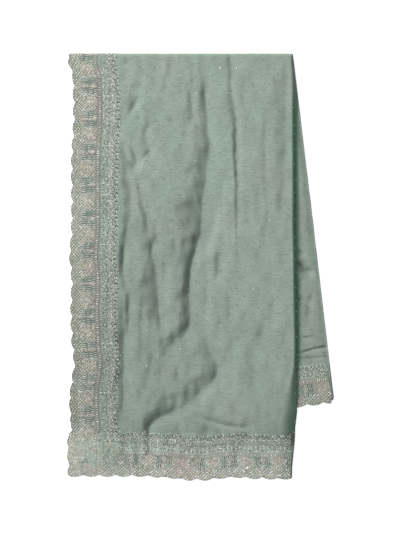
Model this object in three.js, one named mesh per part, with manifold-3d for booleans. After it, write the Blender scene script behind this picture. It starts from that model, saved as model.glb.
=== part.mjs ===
// A saree folded for sale and laid flat. The long cloth is folded in half along its length, so that
// a plain fold runs down the right and both scalloped edges lie on the left. It is then laid in a
// zigzag, and the pile is turned over a straight fold at the top: the front half lies on the back
// half, which swings out to the right. +X is right, +Y is up the cloth, +Z is up from the table. The
// origin is the bottom centre of the box.
import * as THREE from "three";
import Module from "manifold-3d";

const wasm = await Module();
wasm.setup();

// ---- Driving dimensions, millimetres ----

const clothThickness = 1.3;
const layerGap = 0.3; // between one cloth and the next
const coreGap = 0.5; // between a cloth and the hidden layers below it

const frontPile = 10.2; // six layers, pressed
const backPile = 7.6;
const topFoldY = 522.2;
const turnRadius = 8.5; // of the straight fold at the top
const turnY = topFoldY - turnRadius;

const borderSeamX = -198; // inner side of the side border
const hemSeamY = -402.8; // upper side of the hem border
const scallopDepth = 6;
const sidePitch = 40.16;
const sideNotchY = 480.7; // first notch below the top fold
const hemPitch = 39.8;
const hemNotchX = -286.1; // first notch right of the corner
const lastHemNotchX = 191.5;

const foldReach = 5; // how far the side fold bulges
const foldHalf = 1.75; // half the height of one folded pair
const lipLength = 8; // cloth seen to turn under at the side fold
const lipEnd = foldReach + lipLength;
const pairDepth = 2 * foldHalf;
const endGap = 0.5; // from a turned-under lip to the next column of points

const backTilt = THREE.MathUtils.degToRad(6.77); // swing of the back half
const backCorner = { x: 226.8, y: 522.2 }; // its side fold meets the top fold here
const backWidth = 551;
const backLength = 861; // top fold to the crest of its hem
const backSeam = 760; // top fold to its hem border
const backNotch = -27.2; // first notch left of its side fold
const backPitch = 40;
const backTuck = 12.5; // how far it reaches in under the front half
const drapeStart = 14; // past the back half's hem
const drapeRun = 45; // slope where the front half comes off the back half

// The crest line of the left scallops, from the top fold down.
const sideEdge = [
  { y: 522, x: -321 },
  { y: 500, x: -323 },
  { y: 461, x: -312.7 },
  { y: 373, x: -311.5 },
  { y: 249, x: -316.3 },
  { y: 95, x: -316.6 },
  { y: 27, x: -321 },
  { y: -32, x: -316.3 },
  { y: -110, x: -318.5 },
  { y: -188, x: -315.6 },
  { y: -227, x: -310.5 },
  { y: -325, x: -320.5 },
  { y: -393, x: -316.6 },
  { y: -430, x: -326.4 },
  { y: -505, x: -325 },
];

// The side fold of the front half, from the top fold down.
const foldEdge = [
  { y: 522, x: 226.8 },
  { y: 408, x: 232.7 },
  { y: 160, x: 233.6 },
  { y: -200, x: 238 },
  { y: -344, x: 237 },
  { y: -403, x: 232.2 },
  { y: -522, x: 223.5 },
];

// The crest line of the hem scallops, from the corner to the side fold.
const hemEdge = [
  { x: -330, y: -512.7 },
  { x: -140, y: -512.7 },
  { x: -96, y: -515 },
  { x: -20, y: -522.2 },
  { x: 14, y: -522 },
  { x: 50, y: -517.3 },
  { x: 87, y: -515 },
  { x: 129, y: -518.3 },
  { x: 202, y: -519.5 },
];

// How far each cloth falls towards its free edges, and how far in from the edge that begins.
const sideFall = { drop: 2, reach: 30 };
const foldFall = { drop: 1, reach: 15 };
const hemFall = { drop: 2.4, reach: 30 };
const backFall = { drop: 0.8, reach: 12 };

// Folds in the front half, each a valley along a bent line. shade and lit are the widths of its left
// and right slopes, and ridge is the height of the crest beyond the right slope.
const folds = [
  { from: [-3, 505], bend: [14, 359], to: [-19, 127], depth: 1.8, shade: 15, lit: 10, ridge: 0.3 },
  { from: [-12, 225], bend: [-24, 30], to: [-86, -205], depth: 5.6, shade: 25, lit: 10, ridge: 1.3 },
  { from: [195, 450], bend: [200, 285], to: [187, 135], depth: 1.7, shade: 14, lit: 14, ridge: 0.3 },
  { from: [-160, 195], bend: [-118, 20], to: [-104, -150], depth: 3.2, shade: 15, lit: 10, ridge: 0.6 },
  { from: [-197, -140], bend: [-199, -250], to: [-197, -365], depth: 2, shade: 5, lit: 9, ridge: 0 },
  { from: [14, -180], bend: [26, -290], to: [-134, -400], depth: 5, shade: 34, lit: 15, ridge: 0.8 },
];
const foldSteps = 24;
const foldFade = 0.3; // share of its length over which a fold dies out at each end

// The crease across the back half, above its hem border.
const backCrease = { along: 732, depth: 1.6, width: 9 };

// ---- Curves and heights ----

const { lerp } = THREE.MathUtils;
const smooth = (t) => {
  const c = Math.min(1, Math.max(0, t));
  return c * c * (3 - 2 * c);
};
const bump = (distance, width) => Math.exp(-((distance / width) ** 2));

// The value of a table at a place between two of its rows.
function readTable(rows, key, value, at) {
  const turn = Math.sign(rows[1][key] - rows[0][key]);
  let i = 0;
  while (i < rows.length - 2 && turn * (at - rows[i + 1][key]) > 0) i += 1;
  const t = (at - rows[i][key]) / (rows[i + 1][key] - rows[i][key]);
  return lerp(rows[i][value], rows[i + 1][value], smooth(t));
}

const sideX = (y) => readTable(sideEdge, "y", "x", y);
const foldX = (y) => readTable(foldEdge, "y", "x", y);
const hemY = (x) => readTable(hemEdge, "x", "y", x);

// How far a scalloped edge draws back from its crest line.
function scallop(place, notch, pitch) {
  const turns = (place - notch) / pitch;
  const across = 2 * (turns - Math.floor(turns)) - 1;
  return scallopDepth * across * across;
}

// Distance along and across the tilted back half: v runs down its side fold, u runs right to it.
function toBack(x, y) {
  const dx = x - backCorner.x;
  const dy = y - backCorner.y;
  return {
    u: dx * Math.cos(backTilt) + dy * Math.sin(backTilt),
    v: dx * Math.sin(backTilt) - dy * Math.cos(backTilt),
  };
}

function fromBack(u, v) {
  return {
    x: backCorner.x + u * Math.cos(backTilt) + v * Math.sin(backTilt),
    y: backCorner.y + u * Math.sin(backTilt) - v * Math.cos(backTilt),
  };
}

// 1 where the front half lies on the back half, easing to 0 beyond its hem and its left edge.
function overBack(x, y) {
  const { u, v } = toBack(x, y);
  const pastHem = smooth((v - backLength - drapeStart) / drapeRun);
  const pastEdge = smooth((-backWidth - u) / drapeRun);
  return (1 - pastHem) * (1 - pastEdge);
}

function foldHeight(fold, x, y) {
  let nearest = Infinity;
  let across = 0;
  let place = 0;
  for (let i = 0; i <= foldSteps; i += 1) {
    const t = i / foldSteps;
    const mix = (a, b, c) => (1 - t) * (1 - t) * a + 2 * t * (1 - t) * b + t * t * c;
    const cx = mix(fold.from[0], fold.bend[0], fold.to[0]);
    const cy = mix(fold.from[1], fold.bend[1], fold.to[1]);
    const away = Math.hypot(x - cx, y - cy);
    if (away < nearest) {
      const slope = (a, b, c) => 2 * (1 - t) * (b - a) + 2 * t * (c - b);
      const dx = slope(fold.from[0], fold.bend[0], fold.to[0]);
      const dy = slope(fold.from[1], fold.bend[1], fold.to[1]);
      nearest = away;
      across = (dx * (y - cy) - dy * (x - cx)) / Math.hypot(dx, dy);
      place = t;
    }
  }
  const beyond = Math.sqrt(Math.max(0, nearest ** 2 - across ** 2));
  const ends = smooth(place / foldFade) * smooth((1 - place) / foldFade);
  const fade = ends * bump(beyond, fold.shade);
  const valley = fold.depth * bump(across, across < 0 ? fold.shade : fold.lit);
  const crest = fold.ridge * bump(across - 2 * fold.lit, fold.lit);
  return fade * (crest - valley);
}

// Height of the front cloth's upper face.
function frontTop(x, y) {
  let z = frontPile + backPile * overBack(x, y);
  z -= sideFall.drop * bump(x - sideX(y), sideFall.reach);
  z -= foldFall.drop * bump(foldX(y) - x, foldFall.reach);
  z -= hemFall.drop * bump(y - hemY(x), hemFall.reach);
  folds.forEach((fold) => {
    z += foldHeight(fold, x, y);
  });
  return z;
}

function backTop(u, v) {
  const crease = backCrease.depth * bump(v - backCrease.along, backCrease.width);
  return backPile - backFall.drop * bump(u, backFall.reach) - crease;
}

// ---- Solids from lines of points ----

// Joins two lines of numbered points into a strip. Lines of unequal length go by ahead, which holds each
// point's distance along its line, and lines of equal length by turns, the second line first if it leads.
function strip(faces, a, b, ahead, secondLeads = false) {
  const equal = a.length === b.length;
  let i = 0;
  let j = 0;
  while (i < a.length - 1 || j < b.length - 1) {
    const stepA = i < a.length - 1 ? ahead[a[i + 1]] : Infinity;
    const stepB = j < b.length - 1 ? ahead[b[j + 1]] : Infinity;
    if (equal ? (i === j) !== secondLeads : stepA <= stepB) {
      faces.push([a[i], a[i + 1], b[j]]);
      i += 1;
    } else {
      faces.push([a[i], b[j + 1], b[j]]);
      j += 1;
    }
  }
}

// A manifold-3d solid from points and faces, turned to face out.
function closedSolid(points, faces) {
  let volume = 0;
  faces.forEach(([a, b, c]) => {
    volume += points[a].dot(points[b].clone().cross(points[c]));
  });
  const turned = volume > 0 ? faces : faces.map(([a, b, c]) => [a, c, b]);
  const vertProperties = new Float32Array(points.flatMap((p) => [p.x, p.y, p.z]));
  const triVerts = new Uint32Array(turned.flat());
  return new wasm.Manifold(new wasm.Mesh({ numProp: 3, vertProperties, triVerts }));
}

// How far each point lies along its line, from 0 to 1.
function lineShares(line) {
  let far = 0;
  const distances = line.map((point, i) => {
    if (i > 0) far += point.distanceTo(line[i - 1]);
    return far;
  });
  return distances.map((distance) => distance / far);
}

// A wall of cloth. Each line holds pairs of points, one on the upper face and one below it.
function wallSolid(lines, secondLeads = false) {
  const points = [];
  const ahead = [];
  const faces = [];
  const number = (line, side) => {
    const shares = lineShares(line.map((pair) => pair.upper));
    return line.map((pair, i) => {
      ahead.push(shares[i]);
      return points.push(pair[side]) - 1;
    });
  };
  const upper = lines.map((line) => number(line, "upper"));
  const lower = lines.map((line) => number(line, "lower"));
  for (let k = 0; k < lines.length - 1; k += 1) {
    const under = [];
    strip(faces, upper[k], upper[k + 1], ahead, secondLeads);
    strip(under, lower[k], lower[k + 1], ahead, secondLeads);
    under.forEach(([a, b, c]) => faces.push([a, c, b]));
  }
  const first = (rows) => rows.map((row) => row[0]);
  const last = (rows) => rows.map((row) => row[row.length - 1]);
  strip(faces, lower[0], upper[0], ahead);
  strip(faces, upper.at(-1), lower.at(-1), ahead);
  edgeFaces(faces, first(upper), first(lower));
  edgeFaces(faces, last(lower), last(upper));
  return closedSolid(points, faces);
}

function edgeFaces(faces, a, b) {
  for (let i = 0; i < a.length - 1; i += 1) {
    faces.push([a[i], a[i + 1], b[i]]);
    faces.push([b[i], a[i + 1], b[i + 1]]);
  }
}

// The rounded, layered rim of the hidden layers: shares of its height, with how far each sits in.
const rim = [
  { level: 0.86, inset: -1 },
  { level: 0.68, inset: 0.8 },
  { level: 0.5, inset: -1 },
  { level: 0.32, inset: 0.8 },
  { level: 0.15, inset: -1 },
  { level: 0, inset: 0 },
];

// A slab with an upper face through lines of equal length, a layered rim and a flat underside.
function slabSolid(lines) {
  const points = [];
  const faces = [];
  const upper = lines.map((line) => line.map((point) => points.push(point) - 1));
  for (let k = 0; k < upper.length - 1; k += 1) strip(faces, upper[k], upper[k + 1], []);
  const down = upper[0];
  const right = upper.slice(1, -1).map((line) => line.at(-1));
  const up = upper.at(-1).slice().reverse();
  const left = upper.slice(1, -1).map((line) => line[0]).reverse();
  const around = [...down, ...right, ...up, ...left];
  const corners = around.map((n) => points[n]);
  let above = around;
  rim.forEach(({ level, inset }) => {
    const loop = corners.map((corner, i) => {
      const before = corners[(i + corners.length - 1) % corners.length];
      const after = corners[(i + 1) % corners.length];
      const along = new THREE.Vector2(after.x - before.x, after.y - before.y).normalize();
      const x = corner.x - inset * along.y;
      const y = corner.y + inset * along.x;
      return points.push(new THREE.Vector3(x, y, corner.z * level)) - 1;
    });
    edgeFaces(faces, [...loop, loop[0]], [...above, above[0]]);
    above = loop;
  });
  const outline = above.map((n) => new THREE.Vector2(points[n].x, points[n].y));
  THREE.ShapeUtils.triangulateShape(outline, []).forEach(([a, b, c]) => {
    faces.push([above[a], above[c], above[b]]);
  });
  return closedSolid(points, faces);
}

// A bar through rings of equal length. flat turns a ring's point into a flat one, for its two ends.
function barSolid(rings, flat) {
  const count = rings[0].length;
  const points = rings.flat();
  const faces = [];
  for (let k = 0; k < rings.length - 1; k += 1) {
    for (let i = 0; i < count; i += 1) {
      const next = (i + 1) % count;
      faces.push([k * count + i, (k + 1) * count + i, k * count + next]);
      faces.push([k * count + next, (k + 1) * count + i, (k + 1) * count + next]);
    }
  }
  const end = THREE.ShapeUtils.triangulateShape(rings[0].map(flat), []);
  const last = count * (rings.length - 1);
  const turns = THREE.ShapeUtils.isClockWise(rings[0].map(flat)) ? -1 : 1;
  end.forEach(([a, b, c]) => {
    const area = endArea(rings[0].map(flat), a, b, c) * turns;
    const [p, q] = area > 0 ? [b, c] : [c, b];
    faces.push([a, p, q]);
    faces.push([last + a, last + q, last + p]);
  });
  return closedSolid(points, faces);
}

function endArea(ring, a, b, c) {
  const ab = ring[b].clone().sub(ring[a]);
  const ac = ring[c].clone().sub(ring[a]);
  return ab.cross(ac);
}

// ---- The front half: stations down the cloth, and columns across it ----

// A place on the front half, at a depth below its upper face. topX is where the height is read.
function frontPoint(x, depth, station, topX = x) {
  if (station.angle === undefined) {
    return new THREE.Vector3(x, station.y, frontTop(topX, station.y) - depth);
  }
  const half = frontTop(topX, turnY) / 2;
  return new THREE.Vector3(
    x,
    turnY + (turnRadius - depth) * Math.cos(station.angle),
    half + (half - depth) * Math.sin(station.angle),
  );
}

// Round the top fold from the table up, then down the cloth: two stations to a scallop.
const turnSteps = 6;
const turnStations = Array.from({ length: turnSteps }, (_, i) => ({
  y: turnY,
  angle: -Math.PI / 2 + (Math.PI * i) / turnSteps,
}));
const scallopStations = [];
for (let y = sideNotchY + sidePitch / 2; y > hemSeamY + 1; y -= sidePitch / 2) {
  scallopStations.push({ y });
}
const panelEnd = { y: hemSeamY + layerGap / 2 };
const flatStations = [{ y: turnY }, ...scallopStations, panelEnd];
const panelStations = [...turnStations, ...flatStations];

// Columns across the field follow its folds, so that each valley has points of its own.
const leftGuide = [
  { y: 522, x: -162 },
  { y: 195, x: -158 },
  { y: 20, x: -122 },
  { y: -150, x: -106 },
  { y: -402, x: -160 },
  { y: -522, x: -160 },
];
const middleGuide = [
  { y: 522, x: -2 },
  { y: 350, x: 4 },
  { y: 127, x: -19 },
  { y: 20, x: -37 },
  { y: -205, x: -84 },
  { y: -402, x: -100 },
  { y: -522, x: -100 },
];
const rightGuide = [
  { y: 522, x: 194 },
  { y: -522, x: 188 },
];
const fieldColumns = [
  { between: ["seam", "left"], shares: [0, 0.4, 0.8] },
  { between: ["left", "middle"], shares: [0, 0.25, 0.5, 0.75] },
  { between: ["middle", "right"], shares: [0, 0.05, 0.12, 0.32, 0.55, 0.8] },
  { between: ["right", "fold"], shares: [0, 0.5] },
];
const guides = {
  seam: () => borderSeamX + layerGap / 2,
  left: (y) => readTable(leftGuide, "y", "x", y),
  middle: (y) => readTable(middleGuide, "y", "x", y),
  right: (y) => readTable(rightGuide, "y", "x", y),
  fold: (y) => foldX(y) - lipEnd - 3,
};

function fieldX(y) {
  const across = fieldColumns.flatMap(({ between: [a, b], shares }) =>
    shares.map((share) => lerp(guides[a](y), guides[b](y), share)),
  );
  return [...across, guides.fold(y)];
}

// Pairs of points at one station of a flat stretch of cloth.
function flatPair(x, station, depth = 0, raised = 0) {
  const proud = station.angle === undefined ? raised : 0;
  return {
    upper: frontPoint(x, depth - proud, station),
    lower: frontPoint(x, depth + clothThickness, station),
  };
}

// The side fold in section: over, round and a short way back under, as angles round its bulge.
const foldAngles = [90, 55, 20, -20, -55, -90].map(THREE.MathUtils.degToRad);

function rolledPairs(edge, at) {
  const centre = edge - foldReach;
  const round = foldAngles.map((angle) => ({
    upper: at(centre + foldReach * Math.cos(angle), foldHalf - foldHalf * Math.sin(angle), centre),
    lower: at(
      centre + (foldReach - clothThickness) * Math.cos(angle),
      foldHalf - (foldHalf - clothThickness) * Math.sin(angle),
      centre,
    ),
  }));
  const lip = {
    upper: at(edge - lipEnd, pairDepth, centre),
    lower: at(edge - lipEnd, pairDepth - clothThickness, centre),
  };
  return [...round, lip];
}

// Turns rows of pairs, one to a station, into lines that run down the cloth.
const toColumns = (rows) => rows[0].map((_, i) => rows.map((row) => row[i]));

// The plain field of the front half, with its side fold and its turn over the top.
function frontPanel() {
  const rows = panelStations.map((station) => [
    ...fieldX(station.y).map((x) => flatPair(x, station)),
    ...rolledPairs(foldX(station.y), (x, depth, topX) => frontPoint(x, depth, station, topX)),
  ]);
  return wallSolid(toColumns(rows));
}

// The side border, from its scalloped edge to the field. Its ladder of rungs stands proud.
const borderShares = [
  { share: 0.2, raised: 0.3 },
  { share: 0.51, raised: 0 },
  { share: 0.55, raised: 0.8 },
  { share: 0.62, raised: 0.8 },
  { share: 0.66, raised: 0 },
  { share: 0.85, raised: 0.2 },
];
const borderColumns = [0.2, 0.51, 0.66, 0.85];
const borderX = (y, share) =>
  lerp(sideX(y), borderSeamX - layerGap / 2, share);

function halfway(stations) {
  return stations.flatMap((station, i) =>
    i === 0 || station.angle !== undefined
      ? [station]
      : [{ y: (stations[i - 1].y + station.y) / 2 }, station],
  );
}

function sideBorder() {
  const edge = halfway(panelStations).map((station) =>
    flatPair(sideX(station.y) + scallop(station.y, sideNotchY, sidePitch), station),
  );
  const inside = borderShares.map(({ share, raised }) =>
    panelStations.map((station) => flatPair(borderX(station.y, share), station, 0, raised)),
  );
  const seam = panelStations.map((station) => flatPair(borderX(station.y, 1), station));
  return wallSolid([edge, ...inside, seam]);
}

// The second cloth's scalloped edge, which slips out past the first towards the hem.
const underSlip = [
  { y: 522, x: 2.5 },
  { y: -250, x: 2.5 },
  { y: -340, x: -1 },
  { y: -400, x: -1 },
  { y: -440, x: 1 },
  { y: -500, x: 1 },
];
const underLag = 7; // its notches sit this far up from the first cloth's
const underTopY = 500;
const underShare = 0.2;
const edgeDroop = 0.6; // of a lower layer's free edge

function underBorder() {
  const depth = clothThickness + layerGap;
  const hemStations = [0, 0.5, 1, 1.5, 2].map((turns) => ({ y: hemSeamY - turns * sidePitch }));
  const below = [...scallopStations, ...hemStations].filter((station) => station.y <= underTopY);
  const edge = halfway(below).map((station) => {
    const drawn = scallop(station.y, sideNotchY + underLag, sidePitch);
    const slip = readTable(underSlip, "y", "x", station.y);
    return flatPair(sideX(station.y) + slip + drawn, station, depth + edgeDroop);
  });
  const inside = below.map((station) => flatPair(borderX(station.y, underShare), station, depth));
  return wallSolid([edge, inside]);
}

// The hem border, across the whole front half, with its corner and its scalloped lower edge.
const hemRows = [
  { down: 2 * sidePitch, raised: 0.2 },
  { down: 57.6, raised: 0 },
  { down: 56.4, raised: 0.8 },
  { down: 49.6, raised: 0.8 },
  { down: 48.4, raised: 0 },
  { down: sidePitch, raised: 0.2 },
  { down: sidePitch / 2, raised: 0.2 },
  { down: layerGap / 2, raised: 0 },
];
const cornerRound = 9; // radius of the rounded corner
const cornerTop = -496;
const hemLift = { rise: 4, run: 20 }; // of the hem as it meets the side fold

function hemCrest(x) {
  const near = (x - foldX(hemSeamY) + hemLift.run) / hemLift.run;
  return hemY(x) + hemLift.rise * smooth(near);
}

function hemOutline() {
  const left = sideX(cornerTop);
  const low = hemY(left);
  const corner = [
    { x: left, y: cornerTop },
    ...[180, 210, 240, 270].map((degrees) => ({
      x: left + cornerRound + cornerRound * Math.cos(THREE.MathUtils.degToRad(degrees)),
      y: low + cornerRound + cornerRound * Math.sin(THREE.MathUtils.degToRad(degrees)),
    })),
  ];
  const lobes = [];
  for (let x = hemNotchX - hemPitch / 4; x < lastHemNotchX + 1; x += hemPitch / 4) {
    lobes.push({ x, y: hemCrest(x) + scallop(x, hemNotchX, hemPitch) });
  }
  const foldStart = foldX(low) - foldReach;
  const last = lerp(lastHemNotchX, foldStart, 0.5);
  return [...corner, ...lobes, { x: last, y: hemCrest(last) }];
}

function hemBorder() {
  const outline = hemOutline().map(({ x, y }) => flatPair(x, { y }));
  const endY = hemCrest(foldX(hemSeamY));
  const roll = (y) => rolledPairs(foldX(y), (x, depth, topX) => frontPoint(x, depth, { y }, topX));
  const edge = [...outline, ...roll(endY)];
  const rows = hemRows.map(({ down, raised }) => {
    const y = hemSeamY - down;
    const start = sideX(y) + scallop(y, sideNotchY, sidePitch);
    const border = borderColumns.map((share) => borderX(y, share));
    const across = [start, ...border, ...fieldX(y)];
    return [
      ...across.map((x, i) => flatPair(x, { y }, 0, i > 0 ? raised : 0)),
      ...roll(y),
    ];
  });
  return wallSolid([edge, ...rows], true);
}

// ---- The back half ----

// A place on the back half, at a depth below its upper face.
function backPoint(u, depth, v, topU = u) {
  const { x, y } = fromBack(u, v);
  return new THREE.Vector3(x, y, backTop(topU, v) - depth);
}

// Where the back half's cloth ends, tucked in under the front half.
function tuckU(v, tuck) {
  let u = 0;
  for (let i = 0; i < 4; i += 1) {
    const { y } = fromBack(u, v);
    u = (foldX(y) - tuck - backCorner.x - v * Math.sin(backTilt)) / Math.cos(backTilt);
  }
  return u;
}

const backStart = 20;
const backShares = [0, 0.35, 0.7, 1];
const backStep = 46;
const backFoldStart = -lipEnd - endGap;

function backStations() {
  const stations = [];
  const half = backCrease.width / 1.5;
  for (let v = backStart; v < backCrease.along - 4 * half; v += backStep) stations.push(v);
  const creased = [-2, -1, 0, 1, 2].map((step) => backCrease.along + step * half);
  return [...stations, ...creased];
}

function backPair(u, v, raised = 0) {
  return { upper: backPoint(u, -raised, v), lower: backPoint(u, clothThickness, v) };
}

function backRow(v, raised = 0) {
  const start = tuckU(v, backTuck);
  const across = backShares.map((share) => lerp(start, backFoldStart, share));
  return [
    ...across.map((u) => backPair(u, v, raised)),
    ...rolledPairs(0, (u, depth, topU) => backPoint(u, depth, v, topU)),
  ];
}

function backPanel() {
  const rows = [...backStations(), backSeam - layerGap / 2].map((v) => backRow(v));
  return wallSolid(toColumns(rows));
}

const backHemRows = [
  { v: 835, raised: 0.2 },
  { v: 806, raised: 0 },
  { v: 804.8, raised: 0.8 },
  { v: 798, raised: 0.8 },
  { v: 796.8, raised: 0 },
  { v: 778, raised: 0.2 },
  { v: backSeam + layerGap / 2, raised: 0 },
];
const backCornerLift = 14; // of the hem where it meets the side fold
const backCornerRun = 12;

function backHemBorder() {
  const crest = (u) => backLength - backCornerLift * smooth((u + backCornerRun) / backCornerRun);
  const edge = [];
  const start = tuckU(backLength, backTuck);
  const steps = Math.ceil(-start / (backPitch / 4));
  for (let i = 0; i < steps; i += 1) {
    const u = lerp(start, -foldReach, i / steps);
    const drawn = scallop(u, backNotch, backPitch) * smooth((-u - foldReach) / foldReach);
    edge.push(backPair(u, crest(u) - drawn));
  }
  const corner = rolledPairs(0, (u, depth, topU) => backPoint(u, depth, crest(u), topU));
  const rows = backHemRows.map(({ v, raised }) => backRow(v, raised));
  return wallSolid([[...edge, ...corner], ...rows]);
}

// ---- The hidden layers: one solid under both halves ----

const coreHemRows = [0, sidePitch / 2, sidePitch, 48.4, 57.6, 2 * sidePitch];
const edgeInset = 2.5;
const hemInset = 8.5;
const underDepth = 2 * (clothThickness + layerGap) + coreGap - layerGap;
const edgeDepth = underDepth + 1.3 * edgeDroop; // clear of the second layer's drooping edge
const coreDepth = clothThickness + coreGap;
const coreEndY = turnY - 2;
const sideFoldInset = lipEnd + 2.5;

// The main block, under the front half.
function frontBlock() {
  const hemRuns = coreHemRows.map((down) => hemSeamY - down);
  const rows = [coreEndY, ...scallopStations.map(({ y }) => y), ...hemRuns];
  const rowX = (y) => [
    { x: sideX(y) + edgeInset + scallop(y, sideNotchY, sidePitch), depth: edgeDepth },
    { x: borderX(y, underShare), depth: underDepth },
    ...borderColumns.slice(1).map((share) => ({ x: borderX(y, share), depth: coreDepth })),
    ...fieldX(y)
      .slice(0, -1)
      .map((x) => ({ x, depth: coreDepth })),
    { x: foldX(y) - sideFoldInset, depth: coreDepth },
  ];
  const block = rows.map((y) =>
    rowX(y).map(({ x, depth }) => new THREE.Vector3(x, y, frontTop(x, y) - depth)),
  );
  const end = rowX(cornerTop).map(({ x, depth }) => {
    const y = hemY(x) + hemInset;
    return new THREE.Vector3(x, y, frontTop(x, y) - depth);
  });
  return slabSolid(toColumns([...block, end]));
}

// The rounded end of the pile, inside the turn over the top fold.
const roundSteps = 8;
const roundStart = turnY - 7;

function topRound() {
  const bulge = foldX(turnY) - foldReach;
  const edges = [
    { x: sideX(turnY) + edgeInset + scallopDepth, depth: coreDepth },
    ...fieldX(turnY)
      .slice(0, -1)
      .map((x) => ({ x, depth: coreDepth })),
    { x: foldX(turnY) - lipEnd - 1.6, depth: coreDepth },
    { x: foldX(turnY) - lipEnd - 0.8, depth: pairDepth + coreGap, topX: bulge },
    { x: bulge, depth: pairDepth + coreGap },
  ];
  const rings = edges.map(({ x, depth, topX = x }) => {
    const half = frontTop(topX, turnY) / 2;
    const round = Array.from({ length: roundSteps + 1 }, (_, i) => {
      const angle = -Math.PI / 2 + (Math.PI * i) / roundSteps;
      return frontPoint(x, depth, { angle }, topX);
    });
    return [
      new THREE.Vector3(x, roundStart, depth),
      ...round,
      new THREE.Vector3(x, roundStart, 2 * half - depth),
    ];
  });
  return barSolid(rings, (p) => new THREE.Vector2(p.y, p.z));
}

// The lower folded pairs at the front's side fold, which rest on the back half and then on the table.
const pairInset = 1.6;
const pairNotch = 4.2;
const pairLobes = 2;
const pairRoot = 22;
const pairEnd = 103; // below the hem border's seam
const pairClearance = 1.2; // over the raised ladder of the back hem

function foldedPairs() {
  const hemRuns = [0, sidePitch, 2 * sidePitch, pairEnd].map((down) => hemSeamY - down);
  const rows = [coreEndY, ...scallopStations.map(({ y }) => y), ...hemRuns];
  const rings = rows.map((y) => {
    const edge = foldX(y);
    const top = frontTop(edge - foldReach, y) - pairDepth - coreGap;
    const bottom = (backPile + pairClearance) * overBack(edge, y);
    const ring = [new THREE.Vector3(edge - pairRoot, y, top)];
    for (let lobe = 0; lobe < pairLobes; lobe += 1) {
      [0.04, 0.3, 0.7, 0.96].forEach((share, i) => {
        const level = (lobe + share) / pairLobes;
        const inset = i === 0 || i === 3 ? pairNotch : pairInset;
        ring.push(new THREE.Vector3(edge - inset, y, lerp(top, bottom, level)));
      });
    }
    ring.push(new THREE.Vector3(edge - pairNotch - 1, y, bottom));
    ring.push(new THREE.Vector3(edge - pairRoot, y, bottom));
    return ring;
  });
  return barSolid(rings, (p) => new THREE.Vector2(p.x, p.z));
}

// The block under the back half, where it shows.
const backRoot = 30;
const backFoldInset = 4;

function backBlock() {
  const rows = [...backStations(), backSeam, backHemRows[0].v, backLength - hemInset].map((v) => {
    const start = tuckU(v, backRoot);
    const high = -lipEnd - 2.2;
    return [
      backPoint(start, coreDepth, v),
      backPoint(lerp(start, high, 0.5), coreDepth, v),
      backPoint(high, coreDepth, v),
      backPoint(-lipEnd - 1, pairDepth + coreGap, v, -foldReach),
      backPoint(-backFoldInset, pairDepth + coreGap, v, -foldReach),
    ];
  });
  return slabSolid(toColumns(rows));
}

function hiddenLayers() {
  return frontBlock().add(topRound()).add(foldedPairs()).add(backBlock());
}

// ---- The object ----

const sage = 0x97a79b;
const paleSage = 0x8f9f93;
const silverThread = 0xa8aaa0;
const shadedSage = 0x7f8f84;

function addPiece(group, name, solid, color, roughness) {
  const { numProp, vertProperties, triVerts } = solid.getMesh();
  const geometry = new THREE.BufferGeometry();
  const count = vertProperties.length / numProp;
  const position = new Float32Array(count * 3);
  for (let i = 0; i < count; i += 1) {
    position.set(vertProperties.subarray(i * numProp, i * numProp + 3), i * 3);
  }
  geometry.setAttribute("position", new THREE.BufferAttribute(position, 3));
  geometry.setIndex(new THREE.BufferAttribute(new Uint32Array(triVerts), 1));
  geometry.computeVertexNormals();
  const material = new THREE.MeshStandardMaterial({ color, roughness, metalness: 0 });
  const mesh = new THREE.Mesh(geometry, material);
  mesh.name = name;
  group.add(mesh);
}

const saree = new THREE.Group();
saree.name = "folded_saree";
addPiece(saree, "front_panel", frontPanel(), sage, 0.5);
addPiece(saree, "side_border", sideBorder(), silverThread, 0.6);
addPiece(saree, "under_border", underBorder(), silverThread, 0.6);
addPiece(saree, "hem_border", hemBorder(), silverThread, 0.6);
addPiece(saree, "back_panel", backPanel(), paleSage, 0.5);
addPiece(saree, "back_hem_border", backHemBorder(), silverThread, 0.6);
addPiece(saree, "hidden_layers", hiddenLayers(), shadedSage, 0.7);

export default saree;
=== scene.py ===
import math

import bpy
import numpy as np
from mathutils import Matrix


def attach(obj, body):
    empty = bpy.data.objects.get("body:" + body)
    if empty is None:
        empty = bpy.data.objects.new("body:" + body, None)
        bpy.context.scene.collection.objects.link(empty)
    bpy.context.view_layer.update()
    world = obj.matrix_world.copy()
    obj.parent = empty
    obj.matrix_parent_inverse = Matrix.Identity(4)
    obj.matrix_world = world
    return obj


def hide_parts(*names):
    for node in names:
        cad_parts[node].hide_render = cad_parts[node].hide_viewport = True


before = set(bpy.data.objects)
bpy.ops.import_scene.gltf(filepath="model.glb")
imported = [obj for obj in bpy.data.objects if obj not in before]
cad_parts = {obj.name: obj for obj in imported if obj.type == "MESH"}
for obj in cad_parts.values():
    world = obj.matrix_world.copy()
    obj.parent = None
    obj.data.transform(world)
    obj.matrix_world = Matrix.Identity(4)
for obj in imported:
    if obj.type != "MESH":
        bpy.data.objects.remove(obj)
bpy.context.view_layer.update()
MM = 0.001

# ---- Table, daylight and camera ----
# The folded cloth lies on a plain white table under a large soft window light from
# the upper left, with a weak fill from the right and pale walls all round.

scene = bpy.context.scene
scene.view_settings.view_transform = "Standard"


def srgb(red, green, blue):
    """A colour given 0 to 255, as the plain light values that a shader takes."""
    share = np.array([red, green, blue]) / 255
    return tuple(np.where(share < 0.04045, share / 12.92, ((share + 0.055) / 1.055) ** 2.4))


def new_material(name, colour, roughness, **sockets):
    material = bpy.data.materials.new(name)
    material.use_nodes = True
    shader = material.node_tree.nodes["Principled BSDF"]
    shader.inputs["Base Color"].default_value = (*colour, 1)
    shader.inputs["Roughness"].default_value = roughness
    for socket, value in sockets.items():
        shader.inputs[socket.replace("_", " ")].default_value = value
    return material


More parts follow.
